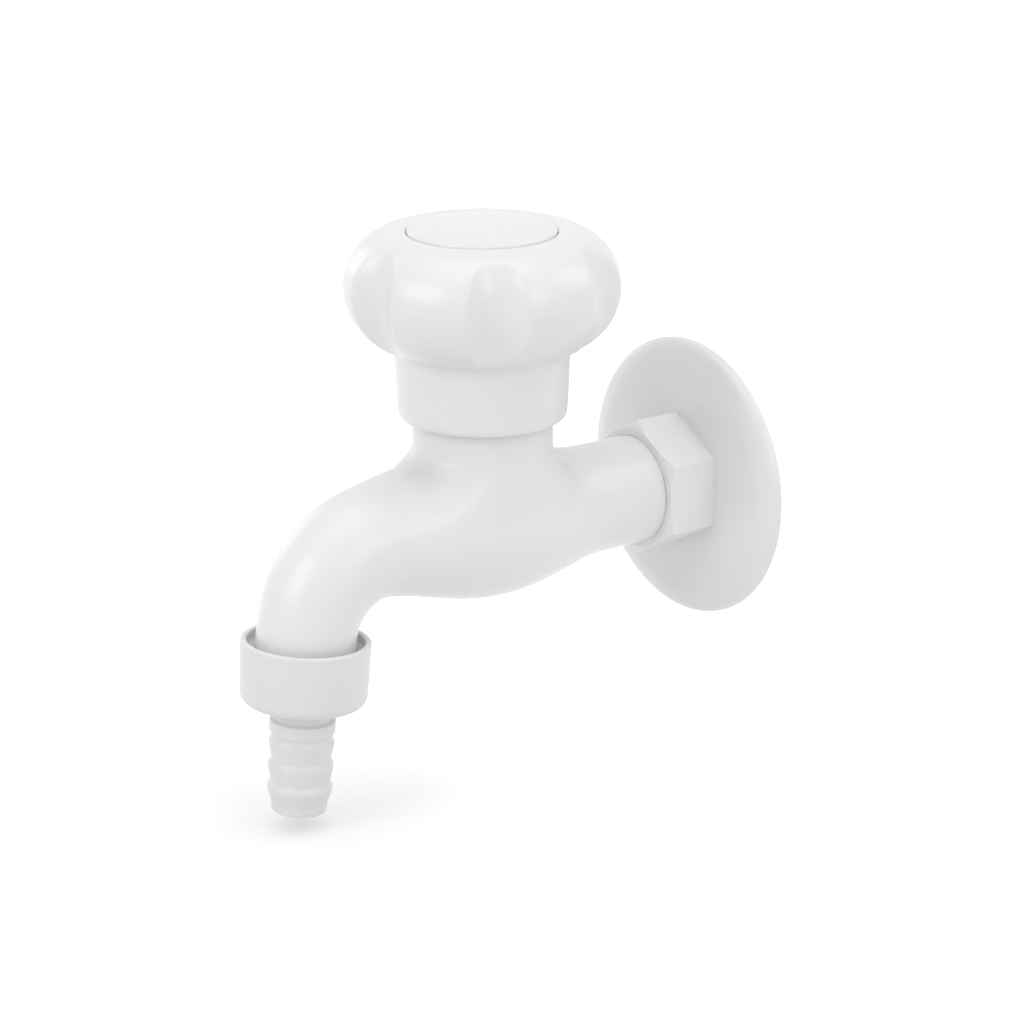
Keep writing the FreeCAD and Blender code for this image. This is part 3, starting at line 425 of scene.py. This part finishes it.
def knob_section():
    """The handle's section from inside its skirt, over the lobes and into the well under the cap."""
    section = [
        (16.4, 50.6), (16.4, 49.0), (16.4, 30.0), (16.4, 25.4), (16.6, 24.9), (17.1, 24.8), (17.5, 24.85),
        (18.0, 25.25), (18.3, 25.9), (18.37, 26.8), (18.5, 29.5), (18.7, 34.0), (18.84, 38.0),
        (18.92, 39.2), (19.15, 39.95), (19.7, 40.35),
    ]
    under, over = LOBE_RADIUS - LOBE_UNDER_ROUND, LOBE_RADIUS - LOBE_TOP_ROUND
    lobes = []
    for degrees in (22, 30, 38, 46, 54, 62, 70, 78, 85):
        turn = math.radians(degrees)
        lobes.append((under + LOBE_UNDER_ROUND * math.sin(turn),
                      LOBE_HEIGHT - LOBE_UNDER_ROUND * math.cos(turn)))
    lobes += [(LOBE_RADIUS, LOBE_HEIGHT - LINE_HALF), (LOBE_RADIUS + LINE_RISE, LOBE_HEIGHT),
              (LOBE_RADIUS, LOBE_HEIGHT + LINE_HALF)]
    for degrees in (5, 12, 20, 28, 36, 44, 51, 58, 65, 72, 80):
        turn = math.radians(degrees)
        lobes.append((over + LOBE_TOP_ROUND * math.cos(turn),
                      LOBE_HEIGHT + LOBE_TOP_ROUND * math.sin(turn)))
    first_lobe, last_lobe = len(section), len(section) + len(lobes)
    section += lobes
    section += [
        (18.2, LOBE_HEIGHT + LOBE_TOP_ROUND - 0.02), (17.0, RIM_TOP + 0.16), (16.45, RIM_TOP + 0.03),
        (16.2, RIM_TOP - 0.14), (RIM_RADIUS, RIM_TOP - 0.6), (RIM_RADIUS, CAP_SEAT + 0.3),
        (16.0, CAP_SEAT), (7.0, CAP_SEAT), (WELL_RADIUS, CAP_SEAT - 0.3), (WELL_RADIUS, WELL_FLOOR + 0.3),
        (6.3, WELL_FLOOR), (4.5, WELL_FLOOR),
    ]
    return section, range(first_lobe, last_lobe)


def flute_reach(radius, height, degrees):
    """How far inside the flute's tool a point lies, in millimetres, or below zero outside it."""
    turn = math.radians(degrees)
    along, aside = radius * math.cos(turn), radius * math.sin(turn)
    swing = math.hypot(along - FLUTE_PIVOT, height - LOBE_HEIGHT)
    return FLUTE_RADIUS - math.hypot(swing - FLUTE_ARC - FLUTE_RADIUS, aside)


def halved(low, high, goes_on):
    """The place between low and high where goes_on turns from true to false."""
    for _ in range(24):
        half = (low + high) / 2.0
        if goes_on(half):
            low = half
        else:
            high = half
    return low


def flute_columns(radius, height):
    """Angle from the flute's middle and radius of each column at one ring of the lobes."""
    edge = 0.0
    if flute_reach(radius, height, 0.0) > 0.0:
        edge = halved(0.0, 25.0, lambda degrees: flute_reach(radius, height, degrees) > 0.0)
    band = max(edge, FLUTE_LEAST)
    half = FLUTE_PITCH / 2.0
    shoulder = band + SHOULDER_END
    angles = [0.0, 0.38 * band, 0.70 * band, 0.90 * band, band, band + SHOULDER_START, shoulder,
              shoulder + (half - shoulder) / 3.0, shoulder + (half - shoulder) / 1.5, half]
    columns = []
    for degrees in angles:
        if flute_reach(radius, height, degrees) > 0.0:
            floor = halved(WELL_RADIUS, radius, lambda r: flute_reach(r, height, degrees) < 0.0)
        else:
            floor = radius
        columns.append([degrees, floor])
    if edge > FLUTE_LEAST:
        columns[4][1] = radius - EDGE_SINK
        columns[5][1] = radius - EDGE_SINK / 8.0
    return columns


def make_knob():
    """Rings of the handle's section, their columns slid and pushed in at the flutes, then subdivided."""
    section, lobe_rings = knob_section()
    bpy.ops.object.select_all(action="DESELECT")
    radius, height = section[0]
    bpy.ops.mesh.primitive_circle_add(vertices=KNOB_RING, radius=radius * KNOB_GROW * MM, fill_type="NGON",
                                      location=(0.0, 0.0, height * MM))
    knob = bpy.context.active_object
    knob.name = "knob_shell"
    bpy.ops.object.transform_apply(location=True, rotation=True, scale=True)
    bpy.ops.object.mode_set(mode="EDIT")
    bpy.ops.mesh.select_all(action="SELECT")
    for next_radius, next_height in section[1:]:
        bpy.ops.mesh.extrude_region_move(
            TRANSFORM_OT_translate={"value": (0.0, 0.0, (next_height - height) * MM)})
        factor = next_radius / radius
        bpy.ops.transform.resize(value=(factor, factor, 1.0), center_override=(0.0, 0.0, next_height * MM))
        radius, height = next_radius, next_height
    press_flutes(knob, section, lobe_rings)
    close_up()
    finish_modifier(knob, "SUBSURF", levels=1, render_levels=1)
    place(knob, y=VALVE_Y)
    smoothed(knob, MOULDED_CREASE)
    return knob


def column_table(knob):
    """Numbers of the cage's points by ring, column and side of the flute."""
    mesh = bmesh.from_edit_mesh(knob.data)
    table = {}
    for vert in mesh.verts:
        angle = math.degrees(math.atan2(vert.co.y, vert.co.x)) + 90.0
        away = (angle + FLUTE_PITCH / 2.0) % FLUTE_PITCH - FLUTE_PITCH / 2.0
        column = round(abs(away) / COLUMN)
        side = 0 if column in (0, KNOB_COLUMNS // 2) else int(math.copysign(1, away))
        table.setdefault((vert.index // KNOB_RING, column, side), []).append(vert.index)
    return table


def pick_numbers(obj, numbers):
    """In edit mode, select just the points with these numbers."""
    bpy.ops.mesh.select_all(action="DESELECT")
    mesh = bmesh.from_edit_mesh(obj.data)
    mesh.verts.ensure_lookup_table()
    for number in numbers:
        mesh.verts[number].select = True
    mesh.select_flush(True)


def press_flutes(knob, section, lobe_rings):
    """Slide each column to its place across the flute, then scale it in towards the axis."""
    bpy.ops.mesh.select_mode(type="VERT")
    table = column_table(knob)
    for ring in lobe_rings:
        radius, height = section[ring]
        for column, (degrees, floor) in enumerate(flute_columns(radius, height)):
            for side in (-1, 0, 1):
                numbers = table.get((ring, column, side))
                if not numbers:
                    continue
                pick_numbers(knob, numbers)
                slide = side * (degrees - column * COLUMN)
                if slide:
                    bpy.ops.transform.rotate(value=-math.radians(slide), orient_axis="Z",
                                             center_override=(0.0, 0.0, height * MM))
                if floor < radius:
                    factor = floor / radius
                    bpy.ops.transform.resize(value=(factor, factor, 1.0),
                                             center_override=(0.0, 0.0, height * MM))


def make_cap():
    """Domed cap with a rounded edge and the spigot under it."""
    foot = CAP_RADIUS - 0.5
    seat = CAP_SEAT + 0.1
    dome_round = (foot * foot + (CAP_TOP - CAP_EDGE) ** 2) / (CAP_TOP - CAP_EDGE) / 2.0
    dome = [(CAP_RADIUS, CAP_EDGE - 0.5), (CAP_RADIUS - 0.06, CAP_EDGE - 0.25),
            (CAP_RADIUS - 0.22, CAP_EDGE - 0.07)]
    for radius in (foot, 14.5, 13.0, 11.0, 9.0, 7.0, 5.0, 3.0, 1.5, 0.0):
        dome.append((radius, CAP_TOP - dome_round + math.sqrt(dome_round * dome_round - radius * radius)))
    spigot = [(5.4, seat), (5.4, SPIGOT_END), (6.4, SPIGOT_END), (6.4, seat)]
    corners = [(0.0, seat)] + spigot + [(CAP_RADIUS, seat)] + dome
    cap = lathe("cap_shell", corners, steps=96)
    place(cap, y=VALVE_Y)
    smoothed(cap, TURNED_CREASE)
    return cap


# The hose union

NUT_LIP = -1.2
NUT_HEIGHT = 14.1
COLLAR_TOP = -11.9
COLLAR_BOTTOM = -14.0
TAIL_LENGTH = 38.3
FIRST_BARB = 22.8
BARB_PITCH = 5.08


def make_nut():
    """Round coupling nut with a rolled lip and a softly rounded foot."""
    foot = NUT_LIP - NUT_HEIGHT
    corners = [
        (7.4, foot, 0.3), (13.6, foot, 2.4), (14.0, NUT_LIP, 0.55), (12.6, NUT_LIP, 0.45),
        (12.6, NUT_LIP - 2.2, 0.6), (10.6, NUT_LIP - 2.5, 0.3), (10.6, foot + 1.2, 0.2),
        (7.4, foot + 1.2, 0.2),
    ]
    nut = lathe("nut_shell", corners)
    place(nut, turn_x=-OUTLET_TILT, y=OUTLET_Y, z=OUTLET_Z)
    smoothed(nut, TURNED_CREASE)
    return nut


def make_tail():
    """Barbed tail: a flat collar inside the nut, a waist, a smooth band and three soft barbs."""
    end = NUT_LIP - TAIL_LENGTH
    corners = [(4.3, COLLAR_TOP), (4.3, end, 0.3), (5.9, end, 0.35), (6.0, end + 1.9, 0.5)]
    for i in (2, 1, 0):
        crest = NUT_LIP - FIRST_BARB - BARB_PITCH * i
        corners += [(7.02, crest - 0.3, 0.25), (7.02, crest + 0.35, 0.3), (6.35, crest + 1.4, 0.7)]
    corners += [(7.1, -21.5, 0.5), (7.1, -19.0, 0.3), (6.3, -18.6, 0.3), (6.3, -16.3, 0.2),
                (7.15, -15.9, 0.15), (7.15, COLLAR_BOTTOM, 0.1), (9.9, COLLAR_BOTTOM, 0.2),
                (9.9, COLLAR_TOP, 0.2)]
    tail = lathe("tail_shell", corners)
    place(tail, turn_x=-OUTLET_TILT, y=OUTLET_Y, z=OUTLET_Z)
    smoothed(tail, TURNED_CREASE)
    return tail


# The wall end

FLANGE_RADIUS = 31.7
FLANGE_DEPTH = 4.1
FLANGE_HOLE = 10.8
# The hexagon in front of the flange, and the softening of its edges.
HEXAGON_LENGTH = 12.41
HEXAGON_INSIDE = 12.0
HEXAGON_BEVEL = 0.5
SHARP_EDGE = 18.0


def make_flange():
    """Domed cover plate with a soft rim and a hollow back."""
    front = [(FLANGE_RADIUS, 0.0), (31.69, 0.5), (31.55, 1.2), (31.2, 1.8), (30.7, 2.25), (29.9, 2.65),
             (28.8, 3.08), (27.7, 3.48), (27.1, 3.66), (26.5, 3.78), (25.6, 3.86), (23.5, 3.98),
             (20.9, FLANGE_DEPTH)]
    back = [(FLANGE_HOLE, FLANGE_DEPTH), (FLANGE_HOLE, 2.1), (20.9, 2.1), (27.5, 1.7), (28.4, 1.2)]
    corners = [(29.1, 0.0)] + front + back
    flange = lathe("flange_shell", corners, steps=160)
    place(flange, turn_x=90.0)
    smoothed(flange, TURNED_CREASE)
    return flange


def make_connector():
    """A copy of the threaded connector with the hexagon's edges softened."""
    source = nodes["inlet_connector"]
    only(source)
    bpy.ops.object.duplicate()
    connector = bpy.context.active_object
    connector.name = "connector_shell"
    bpy.ops.object.mode_set(mode="EDIT")
    bpy.ops.mesh.select_all(action="SELECT")
    bpy.ops.mesh.remove_doubles(threshold=0.002 * MM)
    bpy.ops.mesh.dissolve_limited(angle_limit=math.radians(0.3))

    def on_hexagon(edge):
        point = middle(edge)
        between = -FLANGE_DEPTH - HEXAGON_LENGTH < point.y < -FLANGE_DEPTH - 0.2
        outside = math.hypot(point.x, point.z) > HEXAGON_INSIDE
        return (between and outside and edge.is_manifold
                and edge.calc_face_angle() > math.radians(SHARP_EDGE))
    pick(connector, on_hexagon, "edges")
    bpy.ops.mesh.bevel(offset=HEXAGON_BEVEL * MM, segments=3, clamp_overlap=True)
    bpy.ops.object.mode_set(mode="OBJECT")
    smoothed(connector, HEXAGON_CREASE)
    return connector


body = make_body()
knob = make_knob()
cap = make_cap()
nut = make_nut()
tail = make_tail()
flange = make_flange()
connector = make_connector()


# Materials

# How far the roughness varies above a finish's own gloss.
MOULDED_SPREAD = 0.06
TURNED_SPREAD = 0.2


def new_group(name, inputs, outputs):
    """A shader node group with named sockets.

    The inputs are (name, kind, default) and the outputs are (name, kind)."""
    group = bpy.data.node_groups.new(name, "ShaderNodeTree")
    for label, kind, default in inputs:
        socket = group.interface.new_socket(name=label, in_out="INPUT", socket_type=kind)
        socket.default_value = default
    for label, kind in outputs:
        group.interface.new_socket(name=label, in_out="OUTPUT", socket_type=kind)
    entry = group.nodes.new("NodeGroupInput")
    leave = group.nodes.new("NodeGroupOutput")
    return group, entry, leave


def add_node(tree, kind, **settings):
    """A node with some of its settings and socket values given."""
    node = tree.nodes.new(kind)
    for key, value in settings.items():
        if key in node.inputs:
            node.inputs[key].default_value = value
        else:
            setattr(node, key, value)
    return node


def make_moulded_group():
    """Slight clouding of colour and gloss, as on moulded plastic, with a faint ripple in the surface."""
    group, entry, leave = new_group("moulded_surface", [
        ("Tone", "NodeSocketColor", (0.8, 0.8, 0.8, 1.0)),
        ("Shade", "NodeSocketColor", (0.75, 0.75, 0.75, 1.0)),
        ("Gloss", "NodeSocketFloat", 0.25),
        ("Ripple", "NodeSocketFloat", 0.1),
    ], [("Color", "NodeSocketColor"), ("Roughness", "NodeSocketFloat"), ("Normal", "NodeSocketVector")])
    link = group.links.new
    where = add_node(group, "ShaderNodeTexCoord")
    cloud = add_node(group, "ShaderNodeTexNoise", Scale=38.0, Detail=3.0, Roughness=0.5)
    grain = add_node(group, "ShaderNodeTexNoise", Scale=900.0, Detail=4.0, Roughness=0.6)
    ripple = add_node(group, "ShaderNodeTexNoise", Scale=70.0, Detail=1.0, Roughness=0.4)
    for noise in (cloud, grain, ripple):
        link(where.outputs["Object"], noise.inputs["Vector"])
    mix = add_node(group, "ShaderNodeMix", data_type="RGBA")
    link(cloud.outputs["Fac"], mix.inputs[0])
    link(entry.outputs["Tone"], mix.inputs[MIX_FIRST])
    link(entry.outputs["Shade"], mix.inputs[MIX_SECOND])
    spread = add_node(group, "ShaderNodeMath", operation="MULTIPLY_ADD")
    spread.inputs[1].default_value = MOULDED_SPREAD
    link(grain.outputs["Fac"], spread.inputs[0])
    link(entry.outputs["Gloss"], spread.inputs[2])
    bump = add_node(group, "ShaderNodeBump", Distance=0.0002)
    link(entry.outputs["Ripple"], bump.inputs["Strength"])
    link(ripple.outputs["Fac"], bump.inputs["Height"])
    link(mix.outputs[MIX_RESULT], leave.inputs["Color"])
    link(spread.outputs[0], leave.inputs["Roughness"])
    link(bump.outputs["Normal"], leave.inputs["Normal"])
    return group


def make_turned_group():
    """Fine rings and clouding of colour, as on turned metal."""
    group, entry, leave = new_group("turned_metal", [
        ("Tone", "NodeSocketColor", (0.7, 0.5, 0.3, 1.0)),
        ("Stain", "NodeSocketColor", (0.5, 0.35, 0.2, 1.0)),
        ("Gloss", "NodeSocketFloat", 0.25),
    ], [("Color", "NodeSocketColor"), ("Roughness", "NodeSocketFloat"), ("Normal", "NodeSocketVector")])
    link = group.links.new
    where = add_node(group, "ShaderNodeTexCoord")
    rings = add_node(group, "ShaderNodeTexWave", Scale=600.0, Distortion=0.6, Detail=2.0,
                     bands_direction="Z")
    cloud = add_node(group, "ShaderNodeTexNoise", Scale=120.0, Detail=5.0)
    for texture in (rings, cloud):
        link(where.outputs["Object"], texture.inputs["Vector"])
    mix = add_node(group, "ShaderNodeMix", data_type="RGBA")
    link(cloud.outputs["Fac"], mix.inputs[0])
    link(entry.outputs["Tone"], mix.inputs[MIX_FIRST])
    link(entry.outputs["Stain"], mix.inputs[MIX_SECOND])
    spread = add_node(group, "ShaderNodeMath", operation="MULTIPLY_ADD")
    spread.inputs[1].default_value = TURNED_SPREAD
    link(cloud.outputs["Fac"], spread.inputs[0])
    link(entry.outputs["Gloss"], spread.inputs[2])
    bump = add_node(group, "ShaderNodeBump", Strength=0.15, Distance=0.00005)
    link(rings.outputs["Fac"], bump.inputs["Height"])
    link(mix.outputs[MIX_RESULT], leave.inputs["Color"])
    link(spread.outputs[0], leave.inputs["Roughness"])
    link(bump.outputs["Normal"], leave.inputs["Normal"])
    return group


def make_material(name, group, values, **shader_values):
    """A Principled material fed by a surface group."""
    material = bpy.data.materials.new(name)
    material.use_nodes = True
    tree = material.node_tree
    shader = tree.nodes["Principled BSDF"]
    for key, value in shader_values.items():
        shader.inputs[key.replace("_", " ")].default_value = value
    surface = tree.nodes.new("ShaderNodeGroup")
    surface.node_tree = group
    for key, value in values.items():
        surface.inputs[key].default_value = value
    tree.links.new(surface.outputs["Color"], shader.inputs["Base Color"])
    tree.links.new(surface.outputs["Roughness"], shader.inputs["Roughness"])
    tree.links.new(surface.outputs["Normal"], shader.inputs["Normal"])
    return material


moulded = make_moulded_group()
turned_metal = make_turned_group()

body_white = make_material("body_white", moulded, {
    "Tone": (0.795, 0.793, 0.796, 1.0), "Shade": (0.765, 0.763, 0.766, 1.0), "Gloss": 0.32, "Ripple": 0.12,
}, IOR=1.5, Coat_Weight=0.2, Coat_Roughness=0.18)
# The connector's finish is the body's white made lighter: partly a slightly warmer tone of its own, partly
# painted light standing for the stronger light on the hexagon's front faces.
connector_tone_and_painted_light = make_material("connector_tone_and_painted_light", moulded, {
    "Tone": (0.835, 0.828, 0.822, 1.0), "Shade": (0.805, 0.798, 0.792, 1.0), "Gloss": 0.32, "Ripple": 0.12,
}, IOR=1.5, Coat_Weight=0.2, Coat_Roughness=0.18)
knob_white = make_material("knob_white", moulded, {
    "Tone": (0.785, 0.785, 0.792, 1.0), "Shade": (0.755, 0.755, 0.762, 1.0), "Gloss": 0.30, "Ripple": 0.10,
}, IOR=1.5, Coat_Weight=0.22, Coat_Roughness=0.15)
union_white = make_material("union_white", moulded, {
    "Tone": (0.750, 0.742, 0.745, 1.0), "Shade": (0.725, 0.717, 0.720, 1.0), "Gloss": 0.34, "Ripple": 0.16,
}, IOR=1.5)
black_rubber = make_material("black_rubber", moulded, {
    "Tone": (0.03, 0.03, 0.03, 1.0), "Shade": (0.05, 0.05, 0.048, 1.0), "Gloss": 0.6, "Ripple": 0.3,
}, IOR=1.5)
turned_brass = make_material("turned_brass", turned_metal, {
    "Tone": (0.76, 0.56, 0.27, 1.0), "Stain": (0.62, 0.43, 0.19, 1.0), "Gloss": 0.2,
}, Metallic=1.0)
screw_steel = make_material("screw_steel", turned_metal, {
    "Tone": (0.62, 0.62, 0.62, 1.0), "Stain": (0.5, 0.5, 0.5, 1.0), "Gloss": 0.25,
}, Metallic=1.0)

FINISHES = {
    "body_plastic": body_white, "knob_plastic": knob_white, "union_plastic": union_white,
    "rubber": black_rubber, "brass": turned_brass, "steel": screw_steel,
}


for subpart in frame["record"]["subparts"]:
    node = nodes[subpart["node"]]
    finish = FINISHES[subpart["material_slot"]]
    if not node.material_slots:
        node.data.materials.append(finish)
    for material_slot in node.material_slots:
        material_slot.material = finish

for piece, finish, slot_name, body_name, node_name in [
    (body, body_white, "body_plastic", "tap", "tap_body"),
    (connector, connector_tone_and_painted_light, "body_plastic", "tap", "inlet_connector"),
    (flange, body_white, "body_plastic", "tap", "wall_flange"),
    (knob, knob_white, "knob_plastic", "handle", "knob"),
    (cap, knob_white, "knob_plastic", "handle", "knob_cap"),
    (nut, union_white, "union_plastic", "nut", "coupling_nut"),
    (tail, union_white, "union_plastic", "tail", "hose_tail"),
]:
    piece.data.materials.clear()
    piece.data.materials.append(finish)
    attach(piece, body_name)
    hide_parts(node_name)


# Floor, light and camera

FLOOR_Z = -58.5
TARGET = Vector((3.84, -53.44, 2.64)) * MM
AZIMUTH = math.radians(52.8)
ELEVATION = math.radians(18.3)
DISTANCE = 780.0 * MM
LENS = 126.14
SENSOR = 36.0

# What the world gives as a light, and what the camera and mirrors see.
WORLD_GREY = (0.68, 0.68, 0.68, 1.0)
WORLD_WHITE = (1.0, 1.0, 1.0, 1.0)
# The floor's colour as the light meets it, and as the camera and mirrors see it.
FLOOR_LIT = (0.8, 0.8, 0.8, 1.0)
FLOOR_SEEN = (0.55, 0.55, 0.55, 1.0)
# The floor's own glow, weak under the tail and strong further away.
FLOOR_GLOW = [("From Min", 0.015), ("From Max", 0.075), ("To Min", 0.43), ("To Max", 0.70)]

# Each lamp's size in metres, power in watts, azimuth and elevation in degrees.
LAMPS = {
    "key_light": (0.5, 2.1, 0.0, 30.0),
    "left_light": (0.4, 0.5, -88.0, 12.0),
    "side_light": (0.5, 1.12, 95.0, 25.0),
    "wall_light": (0.5, 1.1, 150.0, 35.0),
    "top_light": (0.9, 2.4, 50.0, 85.0),
}
LAMP_DISTANCE = 1.0


def make_floor():
    """A floor with its middle under the tail, white to the camera except where the tail shades it."""
    bpy.ops.object.select_all(action="DESELECT")
    bpy.ops.mesh.primitive_plane_add(size=6.0, location=(0.0, OUTLET_Y * MM, FLOOR_Z * MM))
    floor = bpy.context.active_object
    floor.name = "floor"
    material = bpy.data.materials.new("floor_white")
    material.use_nodes = True
    tree = material.node_tree
    shader = tree.nodes["Principled BSDF"]
    shader.inputs["Roughness"].default_value = 0.9
    path = add_node(tree, "ShaderNodeLightPath")
    seen = add_node(tree, "ShaderNodeMath", operation="MAXIMUM")
    tree.links.new(path.outputs["Is Camera Ray"], seen.inputs[0])
    tree.links.new(path.outputs["Is Glossy Ray"], seen.inputs[1])
    tone = add_node(tree, "ShaderNodeMix", data_type="RGBA")
    tone.inputs[MIX_FIRST].default_value = FLOOR_LIT
    tone.inputs[MIX_SECOND].default_value = FLOOR_SEEN
    tree.links.new(seen.outputs[0], tone.inputs[0])
    tree.links.new(tone.outputs[MIX_RESULT], shader.inputs["Base Color"])
    where = add_node(tree, "ShaderNodeTexCoord")
    away = add_node(tree, "ShaderNodeVectorMath", operation="LENGTH")
    tree.links.new(where.outputs["Object"], away.inputs[0])
    fade = add_node(tree, "ShaderNodeMapRange", interpolation_type="SMOOTHSTEP")
    for label, value in FLOOR_GLOW:
        fade.inputs[label].default_value = value
    tree.links.new(away.outputs["Value"], fade.inputs["Value"])
    lift = add_node(tree, "ShaderNodeMath", operation="MULTIPLY")
    tree.links.new(fade.outputs[0], lift.inputs[1])
    tree.links.new(seen.outputs[0], lift.inputs[0])
    shader.inputs["Emission Color"].default_value = (1.0, 1.0, 1.0, 1.0)
    tree.links.new(lift.outputs[0], shader.inputs["Emission Strength"])
    floor.data.materials.append(material)
    return floor


def make_world():
    """White to the camera and to mirrors, a soft grey as a light."""
    world = bpy.data.worlds.new("studio")
    bpy.context.scene.world = world
    world.use_nodes = True
    tree = world.node_tree
    background = tree.nodes["Background"]
    path = add_node(tree, "ShaderNodeLightPath")
    first = add_node(tree, "ShaderNodeMath", operation="MAXIMUM")
    tree.links.new(path.outputs["Is Camera Ray"], first.inputs[0])
    tree.links.new(path.outputs["Is Transmission Ray"], first.inputs[1])
    second = add_node(tree, "ShaderNodeMath", operation="MAXIMUM")
    tree.links.new(first.outputs[0], second.inputs[0])
    tree.links.new(path.outputs["Is Glossy Ray"], second.inputs[1])
    mix = add_node(tree, "ShaderNodeMix", data_type="RGBA")
    mix.inputs[MIX_FIRST].default_value = WORLD_GREY
    mix.inputs[MIX_SECOND].default_value = WORLD_WHITE
    tree.links.new(second.outputs[0], mix.inputs[0])
    tree.links.new(mix.outputs[MIX_RESULT], background.inputs["Color"])


def add_lamp(name, size, power, azimuth, elevation):
    """A square soft lamp that faces the tap from this side and height."""
    data = bpy.data.lights.new(name, "AREA")
    data.shape = "SQUARE"
    data.size = size
    data.energy = power
    lamp = bpy.data.objects.new(name, data)
    bpy.context.scene.collection.objects.link(lamp)
    turn, rise = math.radians(azimuth), math.radians(elevation)
    away = Vector((math.sin(turn) * math.cos(rise), -math.cos(turn) * math.cos(rise), math.sin(rise)))
    lamp.location = TARGET + away * LAMP_DISTANCE
    lamp.rotation_euler = away.to_track_quat("Z", "Y").to_euler()


floor = make_floor()
make_world()
for lamp_name, (size, power, azimuth, elevation) in LAMPS.items():
    add_lamp(lamp_name, size, power, azimuth, elevation)

camera_data = bpy.data.cameras.new("camera")
camera_data.lens = LENS
camera_data.sensor_width = SENSOR
camera = bpy.data.objects.new("camera", camera_data)
bpy.context.scene.collection.objects.link(camera)
back = Vector((math.sin(AZIMUTH) * math.cos(ELEVATION), -math.cos(AZIMUTH) * math.cos(ELEVATION),
               math.sin(ELEVATION)))
camera.location = TARGET + back * DISTANCE
camera.rotation_euler = back.to_track_quat("Z", "Y").to_euler()
bpy.context.scene.camera = camera
bpy.context.scene.view_settings.view_transform = "Standard"
